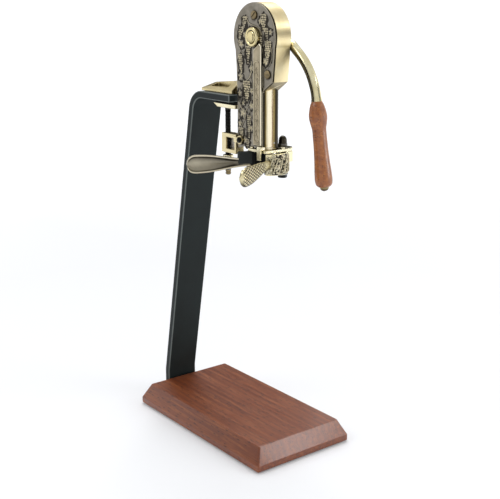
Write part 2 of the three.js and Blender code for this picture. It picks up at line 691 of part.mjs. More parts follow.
function neckTab() {
  const { left, right, front, back, bottom, top } = TAB;
  const hook = box(left, right, front, TAB_HOOK_BACK, PLATE.top + FIT, PLATE.top + PLATE_SCREW.crown);
  const lip = box(left, TAB_LIP.right, front, TAB_LIP.back, PLATE.top + TAB_LIP.above, top);
  return join(box(left, right, front, back, bottom, top), hook, lip);
}

const BOLT = { radius: 4, hex: 6.4, headLow: 379.6, headHigh: 383.6, above: 7.5 };
const WASHER = { radius: 7.5, bottom: 384, top: 385.2 };
const NUT_DOME = [[0, 3.5], [5.6, 3.5], [5.6, 7], [5.4, 9.8], [4.4, 12.2], [2.6, 13.9], [0, 14.5]];
const SPRING = { radius: 5.9, wire: 0.38, turns: 2.75, bottom: 386.1, rise: 2.2 };

function acornNut() {
  const body = join(rodZ(BOLT.hex, 0, 4, 0, 0, 6), turned(NUT_DOME, 24));
  const bore = rodZ(BOLT.radius + FIT, -1, 8, 0, 0, 20);
  return cut(body, bore).translate(JAW.pivotX, JAW.pivotY, PLATE.top + FIT);
}

function pivotBolt() {
  const hex = rodZ(BOLT.hex, BOLT.headLow, BOLT.headHigh, 0, 0, 6);
  const shank = rodZ(BOLT.radius, BOLT.headHigh - 0.6, PLATE.top + BOLT.above, 0, 0, 24);
  return join(hex, shank).translate(JAW.pivotX, JAW.pivotY, 0);
}

function pivotWasher() {
  const ring = ringZ(WASHER.radius, BOLT.radius + FIT, WASHER.bottom, WASHER.top, 28);
  return ring.translate(JAW.pivotX, JAW.pivotY, 0);
}

class SpringHelix extends THREE.Curve {
  getPoint(t, target = new THREE.Vector3()) {
    const angle = t * SPRING.turns * 2 * Math.PI;
    const { radius, bottom, rise } = SPRING;
    return target.set(radius * Math.cos(angle), radius * Math.sin(angle), bottom + rise * t);
  }
}

function jawSpring() {
  return swept(disc(SPRING.wire, 6), new SpringHelix(), 44).translate(JAW.pivotX, JAW.pivotY, 0);
}

const jawMount = groupAt(
  0, 0, 0,
  mesh("jaw_plate", jawPlate(), BRASS()),
  ...PLATE_SCREWS.map((spot, i) => mesh(`plate_screw_${i + 1}`, plateScrew(...spot), BRASS())),
  mesh("neck_tab", neckTab(), BRASS()),
  mesh("pivot_bolt", pivotBolt(), BLACK_STEEL()),
  mesh("acorn_nut", acornNut(), BLACK_STEEL()),
  mesh("pivot_washer", pivotWasher(), STEEL()),
  mesh("jaw_spring", jawSpring(), STEEL()),
);

// ---------------------------------------------------------------- jaws and their handles
// side is -1 for the left jaw and +1 for the right jaw.
const deg = THREE.MathUtils.degToRad;
const WALL_SPAN = [deg(-48), deg(62)];
const LINER_SPAN = [deg(-44), deg(50)];
const LINER = { thick: 2.2, short: 1 };
const BRIDGE = { reach: 16, front: 6, back: 4 };
const EYE_ROOM = 0.7;

function arcBand(side, inner, outer, from, to) {
  const shape = new THREE.Shape();
  const start = side > 0 ? from : Math.PI - from;
  const end = side > 0 ? to : Math.PI - to;
  shape.absarc(0, 0, outer, start, end, side < 0);
  shape.absarc(0, 0, inner, end, start, side > 0);
  return shape;
}

function jawBody(side) {
  const centreX = NECK.x + side * JAW.offset;
  const wall = upright(arcBand(side, JAW.inner, JAW.outer, ...WALL_SPAN), JAW.bottom, JAW.top, 12);
  wall.translate(centreX, NECK.y, 0);
  const { bottom, split, top } = JAW;
  const [low, high] = side < 0 ? [bottom, split - FIT] : [split + FIT, top];
  const [otherLow, otherHigh] = side < 0 ? [split - FIT, top + 1] : [bottom - 1, split + FIT];
  const eye = rodZ(JAW.eye, low, high, JAW.pivotX, JAW.pivotY, 28);
  const bridgeX = [JAW.pivotX, JAW.pivotX + side * BRIDGE.reach].sort((a, b) => a - b);
  const bridge = box(...bridgeX, JAW.pivotY - BRIDGE.front, JAW.pivotY + BRIDGE.back, low, high);
  const body = join(wall, eye, bridge);
  return cut(
    body,
    rodZ(JAW.eye + EYE_ROOM, otherLow, otherHigh, JAW.pivotX, JAW.pivotY, 28),
    rodZ(BOLT.radius + RUN, JAW.bottom - 5, JAW.top + 5, JAW.pivotX, JAW.pivotY, 24),
    rodZ(JAW.inner, JAW.bottom - 1, JAW.top + 1, centreX, NECK.y, 36),
  );
}

// A paddle outline: a slim root that swells to a rounded end; u runs along it and v up.
function paddle(length, rootHalf, widest, droop) {
  const shape = new THREE.Shape();
  const full = length - widest;
  shape.moveTo(0, -rootHalf);
  shape.bezierCurveTo(length * 0.35, -rootHalf, length * 0.5, -widest - droop, full, -widest - droop);
  shape.bezierCurveTo(length - 3, -widest - droop, length, -widest * 0.6 - droop, length, -droop);
  shape.bezierCurveTo(length, widest * 0.6 - droop, length - 3, widest - droop, full, widest - droop);
  shape.bezierCurveTo(length * 0.5, widest - droop, length * 0.35, rootHalf, 0, rootHalf);
  return shape;
}

// Stand a paddle on edge at the root of a handle, splayed outwards and pointing to the front.
function placeHandle(geometry, side, rootX, rootY, rootZ) {
  geometry.rotateX(Math.PI / 2);
  geometry.rotateZ(-Math.PI / 2 + side * HANDLE_SPLAY);
  return geometry.translate(rootX, rootY, rootZ);
}

function bevelled(shape, depth, bevel, curveSegments) {
  const edge = { bevelEnabled: true, bevelSize: bevel, bevelThickness: bevel, bevelSegments: 2 };
  const geometry = new THREE.ExtrudeGeometry(shape, { ...edge, depth: depth - 2 * bevel, curveSegments });
  return geometry.translate(0, 0, -depth / 2 + bevel);
}

const LEFT_ROOT = { x: 53.5, y: -20, z: 402.5 };
const RIGHT_ROOT = { x: 91, y: -19, z: 404 };
const SPOON = { length: 88, root: 5.2, widest: 12.6, thick: 8, edge: 1.6 };
const SHOULDER = { end: 19, half: 4.5, below: 2, above: 14 };
const BOWL = { start: 15.5, shorter: 17, root: 2.6, narrower: 1.2, deep: 3.6 };
const KNURLED = { length: 80, root: 6, widest: 12.4, thick: 8, edge: 2.6, droop: 5.5 };

// The left handle springs from a tall shoulder on the jaw.
function leftJaw() {
  const { length, root, widest, thick, edge } = SPOON;
  const handle = bevelled(paddle(length, root, widest, 0), thick, edge, 8);
  const rim = paddle(length - BOWL.shorter, root - BOWL.root, widest - BOWL.narrower, 0);
  const hollow = upright(rim, 0, BOWL.deep + 1, 8).translate(BOWL.start, 0, -thick / 2 - 1);
  const spoon = cut(handle, hollow);
  const shoulder = box(0, SHOULDER.end, -SHOULDER.below, SHOULDER.above, -SHOULDER.half, SHOULDER.half);
  for (const part of [spoon, shoulder]) {
    placeHandle(part, -1, LEFT_ROOT.x, LEFT_ROOT.y, LEFT_ROOT.z);
  }
  return cut(join(jawBody(-1), spoon, shoulder), neckRoom(-1));
}

function rightJaw() {
  const { length, root, widest, thick, edge, droop } = KNURLED;
  const handle = bevelled(paddle(length, root, widest, droop), thick, edge, 8);
  placeHandle(handle, 1, RIGHT_ROOT.x, RIGHT_ROOT.y, RIGHT_ROOT.z);
  return cut(join(jawBody(1), handle), neckRoom(1));
}

function neckRoom(side) {
  return rodZ(JAW.inner, JAW.bottom - 1, JAW.top + 1, NECK.x + side * JAW.offset, NECK.y, 36);
}

function liner(side) {
  const band = arcBand(side, JAW.inner - LINER.thick, JAW.inner - FIT, ...LINER_SPAN);
  const ring = upright(band, JAW.bottom + LINER.short, JAW.top - LINER.short, 14);
  return ring.translate(NECK.x + side * JAW.offset, NECK.y, 0);
}

const jaws = groupAt(
  0, 0, 0,
  mesh("left_jaw", leftJaw(), ANTIQUE()),
  mesh("right_jaw", rightJaw(), BRASS()),
  mesh("left_liner", liner(-1), RUBBER()),
  mesh("right_liner", liner(1), RUBBER()),
);

// ---------------------------------------------------------------- table clamp
// Corner points of the fixed upper jaw above the strap's arm: a wedge, and a web that rises to the housing.
const WEDGE = [
  [-50, -28, 0], [20, -28, 0], [-50, 0, 0], [20, 0, 0], [-50, -28, 3.5],
  [20, -28, 4.5], [-44, -8, 10.5], [20, -12, 17], [-44, 0, 10.5], [20, 0, 17],
];
const WEB = [
  [14, -22, 0], [26.6, -22, 0], [14, 0, 0], [26.6, 0, 0],
  [14, -15, 17], [25.2, -17, 24], [14, 0, 17], [25.2, 0, 24],
];
const POCKET = { left: -34, right: 6, front: -24, back: -10, floor: 6 };

function upperJaw() {
  const foot = STRAP.armTop + FIT;
  const corner = ([x, y, z]) => new THREE.Vector3(x, y, foot + z);
  const hull = (corners) => new ConvexGeometry(corners.map(corner));
  const { left, right, front, back, floor } = POCKET;
  const pocket = box(left, right, front, back, foot + floor, foot + FAR);
  const y = PLANE_Y + CLAMP_SCREW.behind;
  const screwHoles = CLAMP_SCREW_Z.map((z) => rodX(CLAMP_SCREW.radius + FIT, 14, FAR, y, SHAFT.z + z));
  return cut(join(hull(WEDGE), hull(WEB)), pocket, ...screwHoles);
}

function clampJawScrew(z) {
  const { radius, from, to, behind } = CLAMP_SCREW;
  return rodX(radius, from, to, PLANE_Y + behind, SHAFT.z + z);
}

const POST = { wide: 9.5, clear: 0.6, rear: 2, right: 3 };
const EYE_ARM = { proud: 0.8, left: 4, below: 4, above: 3 };

function clampBracket() {
  const { left, right, front, back, bottom, top, plate } = BRACKET;
  const topPlate = box(left, right, front, back, top - plate, top);
  const bottomPlate = box(left, right, front, back, bottom, bottom + plate);
  const post = box(left, left + POST.wide, front, ROD.y - ROD.radius - POST.clear, bottom, top);
  const rear = box(left, right, back - POST.rear, back, bottom, top);
  const rightPost = box(right - POST.right, right, front, back, bottom, top);
  const eyeX = SHAFT.x + BRACKET_EYE.x;
  const eyeZ = SHAFT.z + BRACKET_EYE.z;
  const coverFront = PLANE_Y + HEAD.front - FIT;
  const { proud, left: overlap, below, above } = EYE_ARM;
  const arm = box(right - overlap, eyeX, front - proud, coverFront, eyeZ - below, eyeZ + above);
  const eye = rodY(BRACKET_EYE.radius, front - proud, coverFront, eyeX, eyeZ, 24);
  return cut(
    join(topPlate, bottomPlate, post, rear, rightPost, arm, eye),
    rodZ(ROD.radius + RUN, bottom - 1, top + 1, ROD.x, ROD.y, 24),
    rodY(SCREW.shank + FIT, -FAR, 0, eyeX, eyeZ, 16),
  );
}

function bracketScrew() {
  const y = BRACKET.front - EYE_ARM.proud - SCREW.head - FIT;
  return slottedScrew(4, 9, SHAFT.x + BRACKET_EYE.x, y, SHAFT.z + BRACKET_EYE.z, Math.PI / 3);
}

// The pad is a bar with a slanted end; a cushion lies on it and a socket under it takes the screw.
const PAD = { bottom: 469.8, top: 475.3, left: -25, right: 25.4, front: -27, back: -7 };
const PAD_SLANT = 10;
const PAD_SOCKET = 3.2;
const CUSHION = { endIn: 3, sideIn: 2 };

function clampPad() {
  const outline = polygon([
    [PAD.left, PAD.top], [PAD.left + PAD_SLANT, PAD.bottom], [PAD.right, PAD.bottom], [PAD.right, PAD.top],
  ]);
  const bar = across(outline, PAD.front, PAD.back);
  return cut(bar, rodZ(ROD.radius + RUN, PAD.bottom - 1, PAD.bottom + PAD_SOCKET, ROD.x, ROD.y, 24));
}

function clampCushion() {
  const armBottom = STRAP.armTop - STRAP.thick;
  const { endIn, sideIn } = CUSHION;
  const sides = [PAD.left + endIn, PAD.right - endIn, PAD.front + sideIn, PAD.back - sideIn];
  return box(...sides, PAD.top + FIT, armBottom - FIT);
}

const clamp = groupAt(
  0, 0, 0,
  mesh("clamp_upper_jaw", upperJaw(), BRASS()),
  ...CLAMP_SCREW_Z.map((z, i) => mesh(`clamp_jaw_screw_${i + 1}`, clampJawScrew(z), STEEL())),
  mesh("clamp_bracket", clampBracket(), BRASS()),
  mesh("bracket_screw", bracketScrew(), BLACK_STEEL()),
  mesh("clamp_pad", clampPad(), BRASS()),
  mesh("clamp_cushion", clampCushion(), RUBBER()),
);

const COLLAR = { radius: 7.3, bottom: 400.5, top: 405 };
const TOMMY = { radius: 2.2, half: 21, z: 393 };
const END_CAP = [[0, 377], [3.2, 377], [3.8, 378], [3.8, 383.9], [0, 383.9]];

function clampRod() {
  const rod = rodZ(ROD.radius, ROD.bottom, ROD.top, 0, 0, 24);
  return cut(rod, rodX(TOMMY.radius + FIT, -FAR, FAR, 0, TOMMY.z));
}

const clampScrew = groupAt(
  ROD.x, ROD.y, 0,
  mesh("clamp_rod", clampRod(), BLACK_STEEL()),
  mesh("rod_collar", ringZ(COLLAR.radius, ROD.radius + FIT, COLLAR.bottom, COLLAR.top, 28), BRASS()),
  mesh("tommy_bar", rodX(TOMMY.radius, -TOMMY.half, TOMMY.half, 0, TOMMY.z, 16), BLACK_STEEL()),
  mesh("rod_end_cap", turned(END_CAP, 24), BRASS()),
);

// ---------------------------------------------------------------- the whole object
const wineOpener = new THREE.Group();
wineOpener.add(stand, head, gearTrain, lever, worm, jawMount, jaws, clamp, clampScrew);

export default wineOpener;
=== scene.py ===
"""Looks of a lever wine opener clamped to a strap stand on a wooden board.

Shapes are built in millimetres, in the CAD model's frame, and become metres when a piece is made.
"""
import json
import math
import random

import bmesh
import bpy
from mathutils import Matrix, Vector
from mathutils.geometry import interpolate_bezier

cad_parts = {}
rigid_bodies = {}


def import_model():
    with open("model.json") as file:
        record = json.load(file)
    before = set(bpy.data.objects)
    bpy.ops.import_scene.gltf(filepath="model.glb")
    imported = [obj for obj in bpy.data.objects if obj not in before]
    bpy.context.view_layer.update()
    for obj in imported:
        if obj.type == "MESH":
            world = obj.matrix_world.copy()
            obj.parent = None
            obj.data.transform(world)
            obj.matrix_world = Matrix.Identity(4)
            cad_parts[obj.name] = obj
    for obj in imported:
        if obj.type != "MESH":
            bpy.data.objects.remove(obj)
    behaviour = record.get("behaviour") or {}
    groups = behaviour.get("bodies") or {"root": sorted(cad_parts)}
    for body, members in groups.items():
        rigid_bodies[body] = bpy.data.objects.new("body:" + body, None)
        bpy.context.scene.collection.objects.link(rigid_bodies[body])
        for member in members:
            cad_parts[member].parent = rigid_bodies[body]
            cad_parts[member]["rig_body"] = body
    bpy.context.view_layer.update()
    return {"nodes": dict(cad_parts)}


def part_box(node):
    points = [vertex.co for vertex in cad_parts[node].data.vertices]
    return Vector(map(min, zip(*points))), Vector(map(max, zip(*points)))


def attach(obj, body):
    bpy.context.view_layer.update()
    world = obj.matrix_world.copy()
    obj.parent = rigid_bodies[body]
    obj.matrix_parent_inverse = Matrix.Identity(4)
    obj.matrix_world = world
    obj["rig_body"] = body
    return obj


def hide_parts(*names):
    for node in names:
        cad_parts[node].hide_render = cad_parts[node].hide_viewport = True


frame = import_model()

MM = 0.001
STEEP = math.radians(22)  # edges sharper than this are bevelled and shaded as edges
WELD = 1e-4  # millimetres; points nearer than this are merged
CLEAR = 5  # millimetres that a cutting tool runs past the faces it cuts


# ---------------------------------------------------------------- points and outlines
def box_mm(node):
    """Lowest and highest corner of a CAD node, in millimetres."""
    low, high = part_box(node)
    return low / MM, high / MM


def middle_mm(node):
    low, high = box_mm(node)
    return (low + high) / 2


def polar(radius, degrees):
    return radius * math.cos(math.radians(degrees)), radius * math.sin(math.radians(degrees))


def arc(cx, cy, radius, start, end, steps=24):
    """Points on an arc between two angles in degrees."""
    offsets = [polar(radius, start + (end - start) * i / steps) for i in range(steps + 1)]
    return [(cx + x, cy + y) for x, y in offsets]


def rounded(x0, x1, y0, y1, radius):
    """A rectangle with round corners."""
    left, right, front, back = x0 + radius, x1 - radius, y0 + radius, y1 - radius
    corners = [(right, front, -90), (right, back, 0), (left, back, 90), (left, front, 180)]
    return [point for x, y, start in corners for point in arc(x, y, radius, start, start + 90, 6)]


def through(points, per_span=8):
    """A smooth Catmull-Rom line through the points."""
    points = [Vector(p) for p in points]
    padded = [2 * points[0] - points[1], *points, 2 * points[-1] - points[-2]]
    line = []
    for a, b, c, d in zip(padded, padded[1:], padded[2:], padded[3:]):
        for i in range(per_span):
            t = i / per_span
            line.append(0.5 * (2 * b + (c - a) * t + (2 * a - 5 * b + 4 * c - d) * t**2
                               + (3 * b - a - 3 * c + d) * t**3))
    return [*line, points[-1]]


def ease(value):
    """0 to 1 with level ends."""
    t = min(1.0, max(0.0, value))
    return t * t * (3 - 2 * t)


# ---------------------------------------------------------------- solids
def skin(rings, loop=False):
    """A surface through rings of points. A loop joins its last ring to its first; else flat caps close it."""
    bm = bmesh.new()
    rows = [[bm.verts.new(p) for p in ring] for ring in rings]
    pairs = list(zip(rows, rows[1:]))
    if loop:
        pairs.append((rows[-1], rows[0]))
    for a, b in pairs:
        for i in range(len(a)):
            j = (i + 1) % len(a)
            bm.faces.new((a[i], a[j], b[j], b[i]))
    if not loop:
        bm.faces.new(rows[0][::-1])
        bm.faces.new(rows[-1])
    bmesh.ops.remove_doubles(bm, verts=bm.verts, dist=WELD)
    bmesh.ops.recalc_face_normals(bm, faces=bm.faces)
    return bm


def lathe(profile, sides=64, loop=False):
    """A solid of revolution about Z from (radius, height) points."""
    return skin([[(*polar(r, 360 * i / sides), z) for i in range(sides)] for r, z in profile], loop)


def prism(outline, low, high, axis="Z"):
    """An outline drawn from low to high along Z, or an outline in X and Z drawn along Y."""
    if axis == "Z":
        return skin([[(u, v, level) for u, v in outline] for level in (low, high)])
    return skin([[(u, level, v) for u, v in outline] for level in (low, high)])


def block(x0, x1, y0, y1, z0, z1):
    return prism([(x0, y0), (x1, y0), (x1, y1), (x0, y1)], z0, z1)


def hull(points):
    """The convex solid round the points."""
    bm = bmesh.new()
    for p in points:
        bm.verts.new(p)
    made = bmesh.ops.convex_hull(bm, input=bm.verts)
    bmesh.ops.delete(bm, geom=made["geom_interior"], context="VERTS")
    merge_flat(bm, 1)
    bmesh.ops.recalc_face_normals(bm, faces=bm.faces)
    return bm


def merge_flat(bm, degrees):
    """Merge neighbouring faces that meet at less than an angle."""
    bmesh.ops.dissolve_limit(bm, angle_limit=math.radians(degrees), verts=bm.verts, edges=bm.edges)


def sweep(route, radius, sides=24):
    """A round bar along a route; radius is a number or a function of the share of the way along."""
    size = radius if callable(radius) else lambda t: radius
    route = [Vector(p) for p in route]
    side = None
    rings = []
    for i, at in enumerate(route):
        ahead = (route[min(i + 1, len(route) - 1)] - route[max(i - 1, 0)]).normalized()
        guess = side if side is not None else ahead.orthogonal()
        side = (guess - ahead * guess.dot(ahead)).normalized()
        other = ahead.cross(side)
        r = size(i / (len(route) - 1))
        turn = [polar(r, 360 * k / sides) for k in range(sides)]
        rings.append([at + side * c + other * s for c, s in turn])
    return skin(rings)


def moved(bm, x=0.0, y=0.0, z=0.0):
    bm.transform(Matrix.Translation((x, y, z)))
    return bm


def turned(bm, degrees, axis):
    bm.transform(Matrix.Rotation(math.radians(degrees), 4, axis))
    return bm


def lathe_y(profile, at, sides=64, loop=False):
    """A solid of revolution about a line along Y from (radius, y) points."""
    return moved(turned(lathe(profile, sides, loop), -90, "X"), at.x, 0, at.z)


def lathe_z(profile, at, sides=64, loop=False, z=0.0):
    """A solid of revolution about a line along Z from (radius, height) points."""
    return moved(lathe(profile, sides, loop), at.x, at.y, z)


def bore_y(radius, low, high, at, sides=64):
    return lathe_y([(radius, low), (radius, high)], at, sides)


def bore_z(radius, low, high, at, sides=40):
    return lathe_z([(radius, low), (radius, high)], at, sides)


def mesh_from(bm, name):
    mesh = bpy.data.meshes.new(name)
    bm.to_mesh(mesh)
    return mesh


def shown(name, data):
    """A new object in the scene."""
    made = bpy.data.objects.new(name, data)
    bpy.context.scene.collection.objects.link(made)
    return made


def gathered(*parts):
    """One bmesh that holds every part."""
    whole = bmesh.new()
    for part in parts:
        mesh = mesh_from(part, "part")
        whole.from_mesh(mesh)
        bpy.data.meshes.remove(mesh)
    return whole


def combined(base, operation, *tools):
    """The base after a boolean with each tool in turn."""
    target, *others = [shown("scratch", mesh_from(bm, "scratch")) for bm in (base, *tools)]
    for other in others:
        modifier = target.modifiers.new("combine", "BOOLEAN")
        modifier.operation = operation
        modifier.solver = "EXACT"
        modifier.object = other
    graph = bpy.context.evaluated_depsgraph_get()
    mesh = bpy.data.meshes.new_from_object(target.evaluated_get(graph))
    result = bmesh.new()
    result.from_mesh(mesh)
    for used in (mesh, *[scratch.data for scratch in (target, *others)]):
        bpy.data.meshes.remove(used)
    bmesh.ops.remove_doubles(result, verts=result.verts, dist=WELD)
    merge_flat(result, 0.5)
    return result


def cut(base, *tools):
    return combined(base, "DIFFERENCE", *tools)


def joined(base, *tools):
    return combined(base, "UNION", *tools)


def piece(name, bm, material, *nodes, body=None, slot=None, bevel=0.0, segments=3, rubbed=None):
    """Make a piece of the object from a bmesh in millimetres; it stands for the named CAD nodes.

    It takes their body where none is given; its slot argument is not used. Its bevelled edges take a second
    material that paints light or shade along them.
    """
    bm.transform(Matrix.Scale(MM, 4))
    mesh = mesh_from(bm, name)
    bm.free()
    mesh.materials.append(material)
    mesh.polygons.foreach_set("use_smooth", [True] * len(mesh.polygons))
    mesh.set_sharp_from_angle(angle=STEEP)
    made = shown(name, mesh)
    if bevel:
        edge = made.modifiers.new("soft edges", "BEVEL")
        edge.width = bevel * MM
        edge.segments = segments
        edge.limit_method = "ANGLE"
        edge.angle_limit = STEEP
        edge.harden_normals = True
        edge.miter_outer = "MITER_ARC"
        # the second material paints light along the bevelled edges: a highlight on most pieces, shade on the
        # housing
        if rubbed:
            mesh.materials.append(rubbed)
            edge.material = 1
    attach(made, body or frame["nodes"][nodes[0]]["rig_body"])
    if nodes:
        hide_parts(*nodes)
    return made


# ---------------------------------------------------------------- material kit
class Nodes:
    """Short calls that add nodes to a node tree."""

    def __init__(self, tree):
        self.tree = tree

    def node(self, kind, inputs, **settings):
        made = self.tree.nodes.new("ShaderNode" + kind)
        for key, value in settings.items():
            setattr(made, key, value)
        for key, value in inputs.items():
            if isinstance(value, bpy.types.NodeSocket):
                self.tree.links.new(value, made.inputs[key])
            else:
                made.inputs[key].default_value = value
        return made

    def spot(self, output="Object"):
        """Texture coordinates of one kind."""
        return self.node("TexCoord", {}).outputs[output]

    def axes(self, vector):
        return self.node("SeparateXYZ", {"Vector": vector}).outputs

    def spread(self, value, low, high, to_low=0.0, to_high=1.0):
        inputs = {"Value": value, "From Min": low, "From Max": high, "To Min": to_low, "To Max": to_high}
        return self.node("MapRange", inputs).outputs["Result"]

    def vector(self, operation, a, b=(0, 0, 0), output="Vector"):
        return self.node("VectorMath", {0: a, 1: tuple(b)}, operation=operation).outputs[output]


class Look(Nodes):
    """A material being made: a Principled shader and short calls that add nodes to it."""

    def __init__(self, name, **constants):
        self.material = bpy.data.materials.new(name)
        self.material.use_nodes = True
        super().__init__(self.material.node_tree)
        self.shader = self.tree.nodes["Principled BSDF"]
        for socket, value in constants.items():
            self.shader.inputs[socket.replace("_", " ")].default_value = value

    def place(self, scale=(1, 1, 1), rotation=(0, 0, 0)):
        """Object coordinates, stretched and turned."""
        turn = tuple(math.radians(a) for a in rotation)
        inputs = {"Vector": self.spot(), "Rotation": turn, "Scale": scale}
        return self.node("Mapping", inputs).outputs["Vector"]

    def noise(self, vector, scale, detail=4.0, rough=0.6, distortion=0.0):
        inputs = {"Vector": vector, "Scale": scale, "Detail": detail, "Roughness": rough}
        inputs["Distortion"] = distortion
        return self.node("TexNoise", inputs).outputs["Fac"]

    def cells(self, vector, scale):
        return self.node("TexVoronoi", {"Vector": vector, "Scale": scale}).outputs["Distance"]

    def math(self, operation, a, b=0.0):
        return self.node("Math", {0: a, 1: b}, operation=operation).outputs[0]

    def plus(self, a, b, share):
        """The first value and a share of the second."""
        return self.math("ADD", a, self.math("MULTIPLY", b, share))

    def dot(self, a, b):
        return self.vector("DOT_PRODUCT", a, b, "Value")

    def mix(self, factor, a, b):
        """A blend of two colours, each a socket or 0-255 screen values."""
        a, b = (rgb(*color) if isinstance(color, tuple) else color for color in (a, b))
        return self.node("Mix", {"Factor": factor, 6: a, 7: b}, data_type="RGBA").outputs[2]

    def crevices(self, distance_mm):
        """0 in recesses, 1 in the open."""
        return self.node("AmbientOcclusion", {"Distance": distance_mm * MM}, samples=6).outputs["AO"]

    def edges(self):
        """About 0.5 on flat faces, more on outer edges."""
        return self.node("NewGeometry", {}).outputs["Pointiness"]

    def bump(self, height, depth_mm, strength=1.0):
        inputs = {"Height": height, "Distance": depth_mm * MM, "Strength": strength}
        self.into("Normal", self.node("Bump", inputs).outputs["Normal"])

    def into(self, socket, output):
        self.tree.links.new(output, self.shader.inputs[socket])


def rgb(red, green, blue):
    """A colour from 0-255 screen values to scene values."""
    def linear(value):
        share = value / 255
        return share / 12.92 if share <= 0.04045 else ((share + 0.055) / 1.055) ** 2.4
    return linear(red), linear(green), linear(blue), 1.0


# ---------------------------------------------------------------- materials
def wood(name, deep, mid, pale, streak_mm, pore_mm, coat, rotation=(0, 0, 0)):
    """Lacquered wood with its grain along X after the rotation."""
    look = Look(name, Coat_Weight=coat, Coat_Roughness=0.16, IOR=1.5)
    along = look.place((0.05, 1, 1), rotation)
    streak = 1 / (streak_mm * MM)
    wide = look.noise(along, streak * 0.35, 3, 0.5, 0.8)
    narrow = look.noise(along, streak, 5, 0.65, 0.4)
    inputs = {"Vector": along, "Scale": streak * 0.12, "Distortion": 4.0, "Detail": 3.0, "Detail Scale": 1.4}
    figure = look.node("TexWave", inputs, bands_direction="Y").outputs["Fac"]
    tone = look.plus(look.plus(look.math("MULTIPLY", wide, 0.5), narrow, 0.35), figure, 0.15)
    base = look.mix(look.spread(tone, 0.3, 0.7), deep, mid)
    base = look.mix(look.spread(narrow, 0.5, 0.85), base, pale)
    fibres = look.noise(look.place((0.012, 1, 1), rotation), 1 / (pore_mm * MM), 4, 0.7)
    base = look.mix(look.spread(fibres, 0.35, 0.65, 0.0, 0.35), base, deep)
    dashes = look.cells(look.place((0.2, 1, 1), rotation), 0.24 / (pore_mm * MM))
    sparse = look.spread(look.noise(look.place(rotation=rotation), 240, 3), 0.38, 0.5)
    pits = look.math("MULTIPLY", look.spread(dashes, 0.34, 0.14), sparse)
    look.into("Base Color", look.mix(look.math("MULTIPLY", pits, 0.8), base, (46, 20, 10)))
    look.into("Roughness", look.spread(narrow, 0.3, 0.7, 0.36, 0.5))
    look.bump(look.math("SUBTRACT", look.math("MULTIPLY", fibres, 0.4), pits), 0.06, 0.4)
    return look.material


def brass(name, bright, dull, dark, roughness, rub=0.75, cast_mm=0.012, below=0.8, hollow_mm=4.0,
          under=(-0.12, 0, -0.99), pattern=None):
    """Antique brass: polished on the open faces, browned with patina in the recesses, and given painted shade
    on the faces that turn toward the under direction.

    A pattern returns 0 where the brass is dark and 1 where it is open.
    """
    look = Look(name, Metallic=1.0)
    here = look.place()
    cloud = look.noise(here, 60, 5)
    grain = look.noise(here, 900)
    metal = look.mix(look.spread(cloud, 0.35, 0.75), bright, dull)
    metal = look.mix(look.spread(look.crevices(hollow_mm), 0.35, rub), dark, metal)
    # painted shade: faces that turn toward the under direction blend toward the dark colour, by up to the
    # below share
    shade_facing = look.dot(look.spot("Normal"), under)
    metal = look.mix(look.spread(shade_facing, -0.02, 0.42, 0, below), metal, dark)
    metal = look.mix(look.spread(look.edges(), 0.52, 0.6), metal, bright)
    if pattern:
        metal = look.mix(pattern(look), dark, metal)
    look.into("Base Color", metal)
    uneven = look.plus(look.math("MULTIPLY", cloud, 0.08), grain, 0.05)
    look.into("Roughness", look.math("ADD", uneven, roughness - 0.06))
    look.bump(grain, cast_mm, 0.5)
    return look.material


def relief_bronze(name, floor_y_mm, height_mm, pale, deep):
    """Cast bronze whose low ground is blackened and whose raised tips are rubbed bright."""
    look = Look(name, Metallic=1.0)
    here = look.place()
    cloud = look.noise(here, 80, 5)
    stipple = look.noise(here, 1400, 3)
    raised = look.spread(look.axes(here)["Y"], floor_y_mm * MM, (floor_y_mm - height_mm) * MM)
    ground = look.mix(look.spread(cloud, 0.35, 0.7), pale, deep)
    ground = look.mix(look.spread(look.crevices(3.2), 0.6, 0.93), (16, 14, 12), ground)
    tips = look.mix(look.spread(stipple, 0.3, 0.7), (250, 240, 206), (216, 198, 152))
    metal = look.mix(look.spread(raised, 0.35, 0.95), ground, tips)
    forward = look.dot(look.spot("Normal"), (0, -1, 0))
    look.into("Base Color", look.mix(look.spread(forward, 0.1, 0.55), (26, 23, 19), metal))
    look.into("Roughness", look.spread(stipple, 0.3, 0.75, 0.3, 0.5))
    look.bump(stipple, 0.06, 0.6)
    return look.material


def painted_highlight_barrel(name, axis, facing):
    """Brass with painted shade round its back and sides and a painted highlight along the side that turns
    toward the facing angle.
    """
    look = Look(name, Metallic=1.0)
    where = look.spot()
    brushed = look.noise(look.place((1, 1, 0.02)), 900)
    from_axis = look.vector("SUBTRACT", where, (axis.x * MM, axis.y * MM, 0))
    outward = look.vector("NORMALIZE", look.vector("MULTIPLY", from_axis, (1, 1, 0)))
    share = look.plus(look.dot(outward, (*polar(1, facing), 0)), brushed, 0.1)
    # painted shade: dark brown on the sides that turn away from the facing angle
    metal = look.mix(look.spread(share, 0.86, 0.985), (46, 39, 24), (150, 132, 86))
    # painted highlight: near white in a narrow band at the facing angle
    metal = look.mix(look.spread(share, 0.985, 1.045), metal, (252, 242, 212))
    look.into("Base Color", metal)
    look.into("Roughness", look.spread(brushed, 0.3, 0.7, 0.2, 0.32))
    look.bump(look.noise(where, 700), 0.02, 0.4)
    return look.material


def matt_plate(name, pale, deep):
    """Dull nickel plate with a cloudy surface."""
    look = Look(name, Metallic=0.1, Roughness=0.45)
    here = look.place()
    look.into("Base Color", look.mix(look.spread(look.noise(here, 140, 5), 0.35, 0.7), pale, deep))
    look.bump(look.noise(here, 900), 0.02, 0.5)
    return look.material


